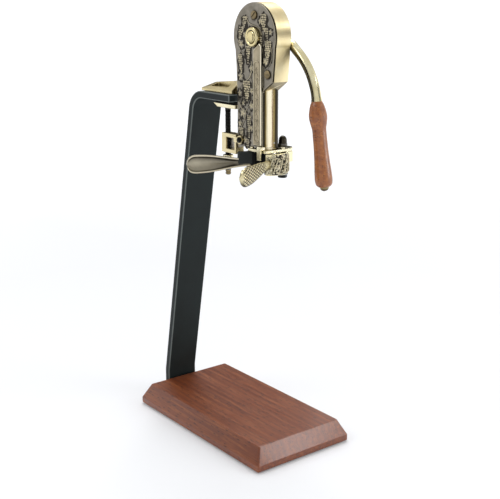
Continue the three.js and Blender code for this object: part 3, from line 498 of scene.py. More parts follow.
def steel(name, color, roughness):
    """Machined steel with fine turning marks."""
    look = Look(name, Metallic=1.0)
    cloud = look.noise(look.place(), 90)
    marks = look.noise(look.place((1, 1, 12)), 400)
    worn = look.mix(look.spread(look.edges(), 0.53, 0.64, 0, 0.7), color, (200, 200, 198))
    look.into("Base Color", look.mix(look.spread(cloud, 0.3, 0.8, 0, 0.2), worn, (60, 56, 50)))
    look.into("Roughness", look.spread(marks, 0.3, 0.7, roughness - 0.07, roughness + 0.1))
    look.bump(marks, 0.02, 0.4)
    return look.material


def paint(name, color, worn, roughness, specular=0.22):
    """Satin paint with a fine orange-peel surface and slightly polished edges."""
    look = Look(name, Specular_IOR_Level=specular)
    here = look.place()
    cloud = look.noise(here, 25)
    base = look.mix(look.spread(cloud, 0.3, 0.75), color, worn)
    base = look.mix(look.spread(look.edges(), 0.53, 0.62, 0, 0.6), base, (120, 126, 124))
    look.into("Base Color", base)
    look.into("Roughness", look.spread(cloud, 0.3, 0.7, roughness - 0.05, roughness + 0.06))
    peel_mm = 0.9
    look.bump(look.noise(here, 1 / (peel_mm * MM), 3, 0.5), 0.05, 0.35)
    return look.material


def rubber(name):
    """Matt black rubber with a pebbled surface."""
    look = Look(name, Specular_IOR_Level=0.15)
    here = look.place()
    cloud = look.noise(here, 120)
    look.into("Base Color", look.mix(cloud, (4, 6, 5), (16, 18, 17)))
    look.into("Roughness", look.spread(cloud, 0.3, 0.7, 0.62, 0.8))
    look.bump(look.cells(here, 900), 0.12, 0.5)
    return look.material


def felt(name):
    """Dark felt with clumped fibres and a soft sheen."""
    look = Look(name, Sheen_Weight=0.6, Sheen_Roughness=0.6)
    here = look.place()
    fuzz = look.noise(here, 2600, 6, 0.75, 1.5)
    base = look.mix(look.noise(here, 260), (32, 28, 26), (58, 52, 48))
    look.into("Base Color", look.mix(look.spread(fuzz, 0.35, 0.75, 0, 0.5), base, (96, 88, 80)))
    look.into("Roughness", look.spread(fuzz, 0.3, 0.7, 0.85, 1.0))
    look.bump(fuzz, 0.2, 0.8)
    return look.material


# ---------------------------------------------------------------- places taken from the frame
SHAFT = middle_mm("shaft_boss")
COVER_LOW, COVER_HIGH = box_mm("front_cover")
COVER_FACE = COVER_LOW.y
NECK = middle_mm("guide_nut")
ROD = middle_mm("clamp_rod")
PIVOT = middle_mm("pivot_washer")
LEVER_Y = middle_mm("lever_pin").y
STRAP_LOW, STRAP_HIGH = box_mm("strap_stand")
GRIP_TILT = 9.33  # degrees that the grip leans out at its foot

MAHOGANY = wood("mahogany", (96, 41, 12), (132, 65, 22), (164, 94, 42), 4.0, 0.7, 0.4)
CHERRY = wood("cherry", (122, 62, 16), (162, 94, 32), (188, 120, 52), 3.5, 0.5, 0.5, (0, 90, 0))
BRASS = brass("brass", (248, 240, 208), (228, 214, 172), (84, 72, 48), 0.22)
WARM_BRASS = brass("warm_brass", (236, 222, 172), (210, 192, 134), (58, 48, 26), 0.22, below=0.95)
HOUSING_BRASS = brass("housing_brass", (242, 228, 186), (228, 208, 156), (84, 72, 48), 0.36)
# painted shade: a darker brass for the housing's bevelled edges
HOUSING_EDGE_SHADE = brass("housing_edge_shade", (206, 184, 130), (180, 156, 104), (70, 58, 34), 0.34)
# the arm's painted shade falls on the faces that turn down, toward -X and toward the front
ARM_BRASS = brass("arm_brass", (252, 244, 206), (228, 214, 162), (50, 42, 22), 0.2, below=0.95,
                  under=(-0.43, -0.55, -0.71))
CLAMP_BRASS = brass("clamp_brass", (222, 206, 158), (188, 168, 116), (44, 36, 20), 0.28, 0.92,
                    below=0.95, hollow_mm=9)
JAW_BRONZE = brass("jaw_bronze", (226, 218, 188), (156, 148, 120), (16, 14, 10), 0.3, 0.98, hollow_mm=5.5)
# painted highlight: a pale bronze for the face bar's bevelled edges
BAR_EDGE_HIGHLIGHT = brass("bar_edge_highlight_bronze", (250, 242, 216), (234, 224, 194), (140, 128, 100), 0.3)
# painted highlight: a paler bronze for the cover's bevelled edges
EDGE_HIGHLIGHT_BRONZE = brass("edge_highlight_bronze", (176, 168, 146), (140, 133, 116), (60, 54, 44), 0.3)
# partly patina and partly painted shade, for the dark ground behind the reliefs
PATINA_AND_SHADE = brass("patina_and_shade_bronze", (62, 58, 52), (38, 35, 31), (14, 12, 10), 0.5, 0.9, 0.05)
SILVERED = matt_plate("silvered", (252, 249, 242), (236, 230, 220))
OLD_BRONZE = brass("old_bronze", (150, 134, 100), (112, 98, 72), (36, 30, 22), 0.34)
COVER_BRONZE = relief_bronze("cover_bronze", COVER_FACE, 1.25, (152, 146, 134), (122, 116, 104))
BAR_BRONZE = relief_bronze("bar_bronze", COVER_FACE - 3, 0.7, (186, 173, 146), (146, 137, 116))
# painted highlight and painted shade round the barrel, brightest at -28 degrees
BARREL_HIGHLIGHT_BRASS = painted_highlight_barrel("barrel_painted_light_brass", NECK, -28)
STEEL = steel("steel", (150, 151, 152), 0.28)
DARK_STEEL = steel("dark_steel", (12, 14, 12), 0.4)
NUT_STEEL = steel("nut_steel", (64, 60, 50), 0.3)
SATIN_BRASS = brass("satin_brass", (226, 212, 170), (192, 176, 130), (84, 74, 52), 0.28, 0.6)
BLACK_PAINT = paint("black_paint", (9, 19, 19), (18, 29, 29), 0.46)
# partly worn paint and partly a painted highlight along the strap's bevelled edges
PAINT_EDGE = paint("worn_and_highlit_paint_edge", (90, 97, 95), (104, 110, 108), 0.4)
SHOULDER_SHADE_BLACK = paint("shoulder_shade_black", (2, 5, 3), (7, 10, 8), 0.5, specular=0.1)
RUBBER = rubber("rubber")
FELT = felt("felt")


# ---------------------------------------------------------------- board, felt and strap
BOARD_CORNER = 2.5
BOARD_EDGE_TOP = 10.3  # where the bevel starts
BOARD_INSET = Vector((11.6, 10.8))  # how far the bevel draws in along X and Y
NOTCH_GAP = 0.3  # round the strap in the board


def board():
    """The board, bevelled all round and notched for the strap."""
    low, high = box_mm("base_board")
    rings = []
    for share, z in [(0, low.z), (0, BOARD_EDGE_TOP), (1, high.z)]:
        x, y = BOARD_INSET * share
        outline = rounded(low.x + x, high.x - x, low.y + y, high.y - y, BOARD_CORNER)
        rings.append([(*point, z) for point in outline])
    face = box_mm("strap_screw_1")[0].x + STRAP["thick"] + NOTCH_GAP
    front, back = STRAP_LOW.y - NOTCH_GAP, STRAP_HIGH.y + NOTCH_GAP
    notch = block(low.x - CLEAR, face, front, back, -CLEAR, high.z + CLEAR)
    piece("board", cut(skin(rings), notch), MAHOGANY, "base_board", bevel=0.9, segments=4)


def felt_sheet():
    """A flat sheet under the board, stretched on it, with a border inset round its edge."""
    low, high = box_mm("base_felt")
    bm = prism(rounded(low.x, high.x, low.y, high.y, 4), low.z, high.z)
    bmesh.ops.inset_region(bm, faces=[f for f in bm.faces if abs(f.normal.z) > 0.9], thickness=1.2)
    pad = piece("felt_pad", bm, FELT, "base_felt", bevel=0.4)


STRAP = {"thick": 10, "bend_z": 45, "slope": 0.184, "inner": 20}


def strap():
    """A leaning leg that bends with a wide radius into a level arm."""
    low, high = STRAP_LOW, STRAP_HIGH
    thick, inner, slope, bend_z = STRAP["thick"], STRAP["inner"], STRAP["slope"], STRAP["bend_z"]
    lean = math.atan(slope)
    inner_x = low.x + thick
    centre_z = high.z - inner - thick
    centre_x = inner_x + slope * (centre_z - bend_z) + inner / math.cos(lean)
    left = 180 - math.degrees(lean)
    outline = [(inner_x, low.z), (inner_x, bend_z)]
    outline += arc(centre_x, centre_z, inner, left, 90)
    outline += [(high.x, high.z - thick), (high.x, high.z)]
    outline += arc(centre_x, centre_z, inner + thick, 90, left)
    outline += [(low.x, bend_z + thick * math.tan(lean / 2)), (low.x, low.z)]
    bm = prism(outline, low.y, high.y, "Y")
    piece("strap", bm, BLACK_PAINT, "strap_stand", bevel=1.3, segments=4, rubbed=PAINT_EDGE)


def wood_screw(node):
    """A countersunk screw with a cross recess, flush with the back of the strap."""
    low, high = box_mm(node)
    at = (low + high) / 2
    head, length, shank = (high.z - low.z) / 2, high.x - low.x, 2.2
    profile = [(0, 0), (head - 0.4, 0), (head, 0.3), (shank, 2.8), (shank, length - 4), (0, length)]
    ends = [(2.6, 0.45, -1), (1.0, 0.3, 1.8)]  # half width, half thickness and depth of a recess arm
    recess = [turned(hull([(s * half, t * thick, depth) for half, thick, depth in ends
                           for s in (-1, 1) for t in (-1, 1)]), turn, "Z") for turn in (20, 110)]
    bm = moved(turned(cut(lathe(profile, 40), *recess), 90, "Y"), low.x, at.y, at.z)
    piece(node + "_head", bm, DARK_STEEL, node)


# ---------------------------------------------------------------- head
# Outlines of the head are in X and Z from the shaft.
HEAD_RADIUS = 43.45
HEAD_FOOT = -68
PANEL = {"left": -36, "right": 18, "bottom": -142, "left_bottom": -148, "step": -14}
HEAD_RIGHT = [(18.6, HEAD_FOOT), (37.5, -55.5), (41, -24)]
WALL = 3  # of the housing
BUSH_RADIUS = 8.7  # outside of the shaft's bushings


def about_shaft(points):
    return [(SHAFT.x + x, SHAFT.z + z) for x, z in points]


def head_arc(inset=0.0):
    return arc(0, 0, HEAD_RADIUS - inset, -17.2, 204, 72)


def cover_outline():
    points = [(PANEL["left"], PANEL["left_bottom"]), (PANEL["step"], PANEL["bottom"])]
    points += [(PANEL["right"], PANEL["bottom"]), (PANEL["right"], HEAD_FOOT - 1)]
    points += HEAD_RIGHT + head_arc() + [(-37.4, -42), (-35.6, -84)]
    return about_shaft(points)


def housing_outline(inset):
    foot, shoulder, side = HEAD_RIGHT
    points = [(-35.8 + inset, HEAD_FOOT + inset), (foot[0] - inset / 2, foot[1] + inset)]
    points += [(shoulder[0] - inset, shoulder[1] + inset / 2), (side[0] - inset, side[1])]
    points += head_arc(inset) + [(-37.4 + inset, -42)]
    return about_shaft(points)


def cover():
    """The front plate, bored for the shaft and grooved beside its panel."""
    low, high = COVER_LOW, COVER_HIGH
    bore = bore_y(BUSH_RADIUS + 0.1, low.y - CLEAR, high.y + CLEAR, SHAFT)
    left, right, bottom, top, depth = 17.8, 21.5, -63, -12, 1.6  # of the groove, from the shaft
    groove = block(SHAFT.x + left, SHAFT.x + right, low.y - CLEAR, low.y + depth,
                   SHAFT.z + bottom, SHAFT.z + top)
    plate = cut(prism(cover_outline(), low.y, high.y, "Y"), bore, groove)
    piece("cover", plate, COVER_BRONZE, "front_cover", bevel=0.5, segments=2, rubbed=EDGE_HIGHLIGHT_BRONZE)


def housing():
    """A shell that is open toward the cover, bored for the barrel, a bushing and the idler's pin."""
    low, high = box_mm("rear_housing")
    shell = prism(housing_outline(0), low.y, high.y, "Y")
    room = prism(housing_outline(WALL), low.y - 1, high.y - WALL, "Y")
    barrel_top = box_mm("barrel")[1].z + 0.3
    barrel_room, pin_room = 14, 4.1
    inside = high.y - WALL - CLEAR
    bore = bore_z(barrel_room, barrel_top - 60, barrel_top, NECK, 64)
    bush = bore_y(BUSH_RADIUS + 0.1, inside, high.y + CLEAR, SHAFT)
    pin = bore_y(pin_room, inside, high.y + CLEAR, middle_mm("idler_pin"), 40)
    bm = cut(shell, room, bore, bush, pin)
    piece("housing", bm, HOUSING_BRASS, "rear_housing", bevel=1.4, segments=4, rubbed=HOUSING_EDGE_SHADE)


def slotted_screw(node, angle, material):
    """A screw with a slightly domed head, a slot turned to an angle and a chamfered rim."""
    low, high = box_mm(node)
    at = (low + high) / 2
    radius, shank, crown = (high.x - low.x) / 2, 1.9, 0.5
    front, back = low.y, low.y + 2
    profile = [(0, front), (radius * 0.55, front + 0.08), (radius * 0.86, front + crown * 0.5)]
    profile += [(radius, front + crown + 0.35), (radius, back), (shank, back), (shank, high.y), (0, high.y)]
    groove = turned(block(-20, 20, front - CLEAR, front + 0.95, -0.75, 0.75), -angle, "Y")
    bm = cut(lathe_y(profile, at, 56), moved(groove, at.x, 0, at.z))
    piece(node + "_head", bm, material, node, bevel=0.12, segments=2)


def face_bar():
    """The raised bar, its bordered panel and a plain scroll of leaves and beads on it."""
    low, high = box_mm("face_bar")
    outline = [(low.x, low.z), (high.x, low.z), (high.x, high.z - 3), (high.x - 4, high.z)]
    outline += [(low.x, high.z - 9)]
    shaft_room = bore_y(12.7, low.y - CLEAR, high.y + CLEAR, SHAFT)
    bar = cut(prism(outline, low.y, high.y, "Y"), shaft_room)
    piece("face_bar_body", bar, BAR_BRONZE, "face_bar", bevel=1.1, rubbed=BAR_EDGE_HIGHLIGHT)
    cx, half = (low.x + high.x) / 2, 5.4
    bottom, top = SHAFT.z - 134, SHAFT.z - 30
    border = arc(cx, top - half, half, 0, 180, 16) + arc(cx, bottom + half, half, 180, 360, 16)
    route = [(x, low.y - 0.05, z) for x, z in border]
    parts = [sweep([*route, route[0]], 0.5, 10)]
    count = 7
    span = (top - bottom - 2 * half) / count
    curl_points = [(-2.6, -0.5), (0.6, -0.2), (2.4, 0.12), (0.7, 0.3), (-0.4, 0.08)]
    for i in range(count):
        side = 1 if i % 2 else -1
        z = bottom + half + span * (i + 0.5)
        stem = [(cx + side * across, low.y, z + span * up) for across, up in curl_points]
        parts.append(sweep(through(stem, 6), lambda t: 0.62 - 0.25 * t, 8))
        for across, up, radius in [(-2.2, 0.22, 0.95), (3.2, -0.3, 0.6)]:
            parts.append(bead(cx + side * across, low.y, z + span * up, radius))
    piece("face_bar_scroll", gathered(*parts), BAR_BRONZE, body="stand", slot="antique_bronze")


def bead(x, y, z, radius, flat=0.75, sides=14):
    """A ball sunk to its middle in a face that looks along -Y."""
    rows = 7
    profile = [polar(radius, 90 * i / rows) for i in range(rows + 1)]
    bm = lathe([(0, -0.3 * radius), (radius, -0.3 * radius), *profile[:-1], (0, radius)], sides)
    bm.transform(Matrix.Diagonal((1, 1, flat, 1)))
    return moved(turned(bm, 90, "X"), x, y, z)


def bushings():
    outer, inner = BUSH_RADIUS, 5.3
    for node in ("front_bushing", "rear_bushing"):
        low, high = box_mm(node)
        profile = [(inner, low.y), (outer, low.y), (outer, high.y), (inner, high.y)]
        piece(node + "_ring", lathe_y(profile, SHAFT, loop=True), BRASS, node, bevel=0.3, segments=2)


def boss():
    low, high = box_mm("shaft_boss")
    outer, inner, front, back = 12.4, 8.3, low.y, high.y
    profile = [(inner, back), (inner, front + 0.9), (inner + 0.3, front + 0.35), (inner + 0.9, front)]
    profile += [(outer - 1.3, front), (outer - 0.45, front + 0.35), (outer, front + 1.2), (outer, back)]
    piece("boss_ring", lathe_y(profile, SHAFT, 72, loop=True), WARM_BRASS, "shaft_boss")


def lobed_leaf(size, turn, rings, spokes, edge, height, back):
    """A leaf round the origin, looking along -Y, with five lobes and a flat back.

    The edge gives its reach from the lobe's strength and the angle, and the height its Y from the
    lobe's strength and the share of the way out.
    """
    rows = []
    for i in range(rings + 1):
        share = i / rings
        row = []
        for k in range(spokes):
            angle = 360 * k / spokes
            lobe = abs(math.cos(math.radians(angle) * 2.5))
            px, pz = polar(size * edge(lobe, angle) * share, angle + turn)
            row.append((px, height(lobe, share), pz))
        rows.append(row)
    rows.append([(px, back, pz) for px, _, pz in rows[-1]])
    return skin([*rows, [(0, back, 0)] * spokes])


# ---------------------------------------------------------------- vine relief
def grape_cluster(rng, x, z, width, height, lean, size):
    """Grapes packed in rows that narrow downwards; lean moves the lowest row sideways."""
    rows = max(2, round(height / (size * 1.5)))
    grapes = []
    for row in range(rows):
        share = row / max(1, rows - 1)
        reach = width * (1 - 0.75 * share**1.4)
        count = max(1, round(reach / (size * 1.7)))
        for i in range(count):
            offset = (i - (count - 1) / 2) * size * 1.75 + rng.uniform(-0.35, 0.35)
            spot_z = z - share * height + rng.uniform(-0.35, 0.35)
            radius = size * rng.uniform(0.85, 1.08)
            grapes.append(bead(x + lean * share + offset, COVER_FACE + 0.1, spot_z, radius, 0.7))
    return grapes


def leaf(x, z, size, turn):
    """A five-lobed vine leaf, domed, with raised veins along its lobes."""
    def edge(lobe, angle):
        return (0.68 + 0.32 * lobe**0.8) * (0.6 if 160 < angle < 200 else 1)

    def height(lobe, share):
        vein = 2.5 * max(0.0, lobe**0.8 - 0.86)
        return 0.15 - 0.66 * (1 - share**2.2) - (0.35 + vein) * (1 - share) ** 0.5

    return moved(lobed_leaf(size, turn, 6, 60, edge, height, 0.4), x, COVER_FACE, z)


def tendril(points):
    """A stem that thins toward its end."""
    route = through([(x, COVER_FACE - 0.15, z) for x, z in points], 8)
    return sweep(route, lambda t: 0.735 - 0.385 * t, 10)


def curl(x, z, radius, start):
    """A tightening spiral of tendril."""
    steps, turns = 26, 1.25
    points = []
    for i in range(steps + 1):
        t = i / steps
        px, pz = polar(radius * (1 - 0.8 * t), start + 360 * turns * t)
        points.append((x + px, COVER_FACE - 0.1, z + pz))
    return sweep(points, lambda t: 0.5 - 0.2 * t, 8)


GRAPES = [  # x, z of the top row, width, height, lean, size
    (45, 590, 9, 17, -5, 1.5), (36, 577, 8, 19, -4, 1.5), (83, 594, 12, 17, 0, 1.6), (88, 577, 7, 14, 3, 1.5),
    (93, 561, 13, 27, -3, 1.7), (51, 553, 10, 20, 0, 1.6), (34, 542, 9, 23, 3, 1.6), (78, 566, 5, 10, 1, 1.4),
    (48, 508, 15, 24, 1, 1.7), (53, 464, 8, 28, 0, 1.5), (36, 446, 9, 15, 2, 1.5), (50, 432, 8, 10, 0, 1.4),
]
LEAVES = [  # x, z, size, turn
    (37, 556, 6.5, 200), (77, 586, 5.5, 90), (87, 536, 6.5, 60), (44, 568, 5, 140), (35, 514, 6.5, 20),
    (58, 526, 5.5, 110), (40, 466, 8, 75), (58.5, 478, 6.5, 250), (34, 452, 5.5, 160), (44.5, 431, 5.5, 30),
    (97, 573, 4.6, 10), (54, 574, 4.4, 130), (33, 492, 5.6, 310), (59, 497, 5.4, 200), (41, 480, 4.6, 170),
    (58, 448, 5, 60),
]
VINES = [
    [(47, 592), (52, 584), (62, 580.5), (72, 578), (79, 572), (84, 562)],
    [(31, 560), (33, 550), (40, 545), (47, 553)],
    [(58, 522), (54, 514), (46, 509), (38, 504), (32, 496), (30.5, 484)],
    [(32, 480), (38, 472), (46, 470), (53, 476), (56, 466), (52, 456)],
    [(46, 470), (44, 458), (38, 450), (33, 440), (36, 430)],
    [(58, 535), (60, 526), (57, 516), (60, 505), (58, 490), (60, 478)],
    [(98, 556), (101, 545), (97, 534), (92, 528)],
]
CURLS = [(62, 590, 4, 200), (43, 484, 3.4, 30), (33, 525, 2.6, 0), (99, 560, 2.8, 120), (46, 445, 3, 300),
         (61, 462, 2.6, 90), (30.5, 468, 2.4, 240), (86, 524, 3, 30)]


def shadow_patch(rng, x, z, half_wide, half_high):
    """A film of dark patina and painted shade with a wavy edge, on which a cluster or a leaf lies."""
    phase = rng.uniform(0, 360)
    outline = []
    for k in range(48):
        angle = 360 * k / 48
        wave = 1 + 0.1 * math.sin(math.radians(5 * angle + phase))
        wave += 0.07 * math.sin(math.radians(9 * angle - phase))
        px, pz = polar(wave, angle)
        outline.append((x + half_wide * px, z + half_high * pz))
    lift = rng.uniform(0.06, 0.12)
    return prism(outline, COVER_FACE - lift, COVER_FACE + 0.4, "Y")


def relief():
    """Vines, leaves and grapes on the cover, and the dark ground behind them, partly patina and partly
    painted shade.
    """
    rng = random.Random(5)
    parts = []
    for spot in GRAPES:
        parts += grape_cluster(rng, *spot)
    parts += [leaf(*spot) for spot in LEAVES]
    parts += [tendril(points) for points in VINES]
    parts += [curl(*spot) for spot in CURLS]
    piece("vine_relief", gathered(*parts), COVER_BRONZE, body="stand", slot="antique_bronze")
    patches = [shadow_patch(rng, x + lean * 0.5, z - height / 2, width * 0.62 + 2, height / 2 + 3.2)
               for x, z, width, height, lean, _ in GRAPES]
    patches += [shadow_patch(rng, x, z, size + 1.2, size + 1.2) for x, z, size, _ in LEAVES]
    piece("relief_ground", gathered(*patches), PATINA_AND_SHADE, body="stand", slot="antique_bronze")


# ---------------------------------------------------------------- lever, shaft and grip
LEVER_ROUTE = [  # x and z from the shaft
    (6, -1.5), (32.7, -7.8), (46.7, -16.5), (58.6, -25.9), (68.5, -36.4), (76.4, -48.3), (82.4, -61.5),
]
ARM_RADIUS = 6.3  # of the lever's round bar
GRIP_TOP = Vector((148.5, 493))
GRIP_START = 4  # from GRIP_TOP to the wood, along the grip
GRIP_LENGTH = 108


def along_grip(distance):
    sine, cosine = polar(1, 90 - GRIP_TILT)
    return Vector((GRIP_TOP.x + distance * sine, LEVER_Y, GRIP_TOP.y - distance * cosine))


def grip_frame(distance):
    """Matrix that stands a lathed shape on the grip's axis, with its Z pointing back up the grip."""
    return Matrix.Translation(along_grip(distance)) @ Matrix.Rotation(math.radians(-GRIP_TILT), 4, "Y")


def lever():
    """A curved round bar that thickens toward the grip, and the hub that it grows from."""
    route = [(SHAFT.x + x, LEVER_Y, SHAFT.z + z) for x, z in LEVER_ROUTE]
    route += [along_grip(-1), along_grip(GRIP_START)]
    arm = sweep(through(route, 12), lambda t: ARM_RADIUS + 0.7 * ease((t - 0.82) / 0.18), 36)
    front, back = LEVER_Y - 6.4, box_mm("lever_arm")[1].y
    hub = [(0, front), (10.2, front), (11, front + 0.8), (11, back - 1.2), (9.8, back), (0, back)]
    bore = bore_y(5.15, front - 9, back + 9, SHAFT, 48)
    bm = cut(joined(arm, lathe_y(hub, SHAFT)), bore)
    piece("lever_bar", bm, ARM_BRASS, "lever_arm", bevel=0.4, segments=2)


GRIP_PROFILE = [(6.6, 0), (7.2, 1.0), (9, 5), (11, 13), (11.6, 20), (10.6, 27), (9.1, 34), (9, 44), (9.2, 60),
                (10, 76), (11, 90), (11.3, 99), (10.1, 105), (7, 108)]


def grip():
    """The turned wooden grip and the small cap on its end."""
    smooth = [(p.x, -p.y) for p in through(GRIP_PROFILE, 5)]
    bm = lathe([(0, 0), *smooth, (0, -GRIP_LENGTH)], 72)
    bm.transform(grip_frame(GRIP_START))
    piece("grip_wood", bm, CHERRY, "wood_grip")
    dome = lathe([(0, 0), (5.6, 0), (5.6, -0.9), (5.1, -2.2), (4.2, -3.4), (2.6, -4.5), (0, -5)], 48)
    dome.transform(grip_frame(GRIP_START + GRIP_LENGTH + 0.3))
    piece("grip_cap", dome, OLD_BRONZE, "grip_end_cap")


def shaft():
    """The domed cap in front of the head, and the shaft that runs back from it."""
    low, high = box_mm("shaft_cap")
    front, back = low.y, high.y
    profile = [(0, front + 0.5), (3.5, front + 0.6), (5.6, front + 0.8), (6.8, front + 1.05)]
    profile += [(7.5, front + 1.5), (7.8, front + 2.1), (7.8, back), (0, back)]
    piece("cap_disc", lathe_y(profile, SHAFT), WARM_BRASS, "shaft_cap")
    low, high = box_mm("main_shaft")
    profile = [(0, low.y), (4.6, low.y), (5, low.y + 0.4), (5, high.y - 0.8), (4.2, high.y), (0, high.y)]
    piece("shaft_bar", lathe_y(profile, SHAFT, 56), STEEL, "main_shaft")


# ---------------------------------------------------------------- barrel, carriage and worm
def barrel():
    """A tube with a rolled lip at its foot, cut flat along its front."""
    low, high = box_mm("barrel")
    outer, inner, lip, top = 13.7, 12.2, (high.x - low.x) / 2, high.z - low.z
    profile = [(inner, 0), (lip - 0.5, 0), (lip, 0.5), (lip, 1.8), (lip - 0.4, 2.2), (outer + 0.5, 2.3)]
    profile += [(outer, 2.9), (outer, top), (inner, top)]
    tube = lathe_z(profile, NECK, 96, loop=True, z=low.z)
    clear = block(NECK.x - 30, NECK.x + 30, NECK.y - 30, low.y, low.z - CLEAR, high.z + CLEAR)
    piece("barrel_tube", cut(tube, clear), BARREL_HIGHLIGHT_BRASS, "barrel")


WORM_LEAD = 9.5  # height of one turn
WORM_MEAN = 3.4  # radius of the coil at the middle of its wire
WORM_WIRE = 1.4  # radius of the wire
WORM_SPAN = (426, 488)  # heights of the coil's tip and of its top
GUIDE_Z = 430.15  # the guide pin's height, half a lead from the wire


def worm():
    """The screw's coil draws in to a sharp point; its shank ends in a thrust collar."""
    bottom, top = WORM_SPAN
    steps = round((top - bottom) / WORM_LEAD * 32)
    route = []
    for i in range(steps + 1):
        z = bottom - 1 + (top - bottom + 1) * i / steps
        mean = WORM_MEAN * (0.35 + 0.65 * ease((z - bottom + 1) / 6))
        angle = 360 * (z - GUIDE_Z + WORM_LEAD / 2) / WORM_LEAD
        px, py = polar(mean, angle)
        route.append((NECK.x + px, NECK.y + py, z))
    coil = sweep(route, lambda t: WORM_WIRE * (0.12 + 0.88 * ease(t * (top - bottom) / 7)), 16)
    shank, flange, levels = 3.9, 7, (486, 499.8, 503.4)
    collar = [(0, levels[0]), (shank, levels[0]), (shank, levels[1])]
    collar += [(flange, levels[1]), (flange, levels[2]), (0, levels[2])]
    piece("worm_screw", joined(coil, lathe_z(collar, NECK, 48)), STEEL, "worm")


# ---------------------------------------------------------------- jaw plate and pivot
def jaw_plate():
    """The plate under the barrel, and the tab beside the neck with its hook and lip."""
    low, high = box_mm("jaw_plate")
    outline = [(54, -27), (90, -25), (90, 20)] + arc(75, 17, 12, 0, 180, 32) + [(54, 4)]
    neck = bore_z(12.2, low.z - CLEAR, high.z + CLEAR, NECK, 72)
    bolt = bore_z(4.3, low.z - CLEAR, high.z + CLEAR, PIVOT)
    bm = cut(prism(outline, low.z, high.z), neck, bolt)
    piece("jaw_plate_cast", bm, BRASS, "jaw_plate", bevel=0.6)
    low, high = box_mm("neck_tab")
    tab_end, tab_thick, hook_z, lip_z, lip_back = high.x - 4, 2.2, (421.8, 423.6), 424.3, -24.3
    tab = block(low.x, tab_end, low.y, low.y + tab_thick, low.z, high.z)
    hook = block(low.x, tab_end, low.y, high.y, *hook_z)
    lip = block(low.x, high.x, low.y, lip_back, lip_z, high.z)
    piece("neck_tab_cast", joined(tab, hook, lip), BRASS, "neck_tab", bevel=0.6)


def hexagon():
    """A hexagonal head round Z from height 0, its lower corners turned off by a cone."""
    radius, tall = 6.4, 4
    cone = [(0, 0), (radius * 0.88, 0), (radius + 0.3, 0.9), (radius + 0.3, tall - 0.9), (radius, tall)]
    blank = prism(arc(0, 0, radius, 0, 360, 6)[:-1], 0, tall)
    return combined(blank, "INTERSECT", lathe([*cone, (0, tall)], 48))


def pivot():
    """The acorn nut and the bolt that the jaws turn on."""
    low, high = box_mm("acorn_nut")
    at = (low + high) / 2
    dome = [(5.5, 3.5), (5.6, 5), (5.6, 7), (5.4, 9.2), (4.9, 11), (3.9, 12.7), (2.5, 13.9)]
    dome += [(1.2, 14.4), (0, 14.5)]
    smooth = [(p.x, p.y) for p in through(dome, 3)]
    bm = moved(joined(hexagon(), lathe([(0, 3.5), *smooth], 48)), at.x, at.y, low.z)
    piece("acorn_cap", bm, NUT_STEEL, "acorn_nut", bevel=0.25, segments=2)
    low, high = box_mm("pivot_bolt")
    tall = high.z - low.z
    shank = lathe([(0, 2), (4, 2), (4, tall - 0.6), (3.4, tall), (0, tall)], 40)
    bm = moved(joined(hexagon(), shank), at.x, at.y, low.z)
    piece("pivot_bolt_turned", bm, DARK_STEEL, "pivot_bolt", bevel=0.25)


def jaw_spring():
    """A coil of thin wire round the pivot bolt."""
    low, high = box_mm("jaw_spring")
    at = (low + high) / 2
    turns, steps, wire = 2.75, 200, 0.4
    route = []
    for i in range(steps + 1):
        px, py = polar(5.9, 360 * turns * i / steps)
        route.append((at.x + px, at.y + py, low.z + wire + (high.z - low.z - 2 * wire) * i / steps))
    piece("jaw_spring_coil", sweep(route, wire - 0.02, 10), STEEL, "jaw_spring")


# ---------------------------------------------------------------- jaws and handles
JAW = {"inner": 17.5, "outer": 25, "offset": 2.5, "eye": 9.5, "gap": 0.3,
       "bottom": 389.3, "split": 403, "top": 417}


def around_jaw(side, radius, angle):
    """A point round a jaw's own centre; the left jaw, whose side is -1, mirrors the angle."""
    px, py = polar(radius, angle if side > 0 else 180 - angle)
    return NECK.x + side * JAW["offset"] + px, NECK.y + py


def jaw_arc(side, radius, start, end, steps=40):
    return [around_jaw(side, radius, start + (end - start) * i / steps) for i in range(steps + 1)]


def jaw_band(side, inner, outer, start, end):
    return jaw_arc(side, outer, start, end) + jaw_arc(side, inner, end, start)


SPLAY = 25  # degrees that each handle leans out from straight forward
LEFT_ROOT = Vector((53.5, -20, 402.5))
RIGHT_ROOT = Vector((91, -19, 404))
SPOON = {"length": 88, "root": 5.2, "widest": 12.6, "droop": 0}
KNURLED = {"length": 80, "root": 6, "widest": 12.4, "droop": 5.5}
SPOON_THICK = 4.0  # half the thickness of the spoon handle
KNURL_PITCH = (8.0, 4.2)  # size of a diamond along and up the handle


def jaw_body(side):
    """A jaw's curved wall, and the eye with which it takes one half of the pivot bolt."""
    bottom, top, eye = JAW["bottom"], JAW["top"], JAW["eye"]
    under, over = (bottom, JAW["split"] - JAW["gap"]), (JAW["split"] + JAW["gap"], top)
    z0, z1 = under if side < 0 else over
    away = (under[1], top + 1) if side < 0 else (bottom - 1, over[0])
    wall = prism(jaw_band(side, JAW["inner"], JAW["outer"], -48, 62), bottom, top)
    ring = lathe_z([(0, z0), (eye, z0), (eye, z1), (0, z1)], PIVOT, 56)
    x0, x1 = sorted((PIVOT.x, PIVOT.x + side * 16))
    bridge = block(x0, x1, PIVOT.y - 6, PIVOT.y + 4, z0, z1)
    room = bore_z(eye + 0.7, *away, PIVOT, 56)
    bolt = bore_z(4.25, bottom - CLEAR, top + CLEAR, PIVOT)
    return cut(joined(wall, ring, bridge), room, bolt)


def neck_room(side):
    """The round space between the jaws, to cut out of one of them."""
    low, high = JAW["bottom"] - 9.3, JAW["top"] + 8
    return moved(lathe([(JAW["inner"], low), (JAW["inner"], high)], 80), *around_jaw(side, 0, 0))


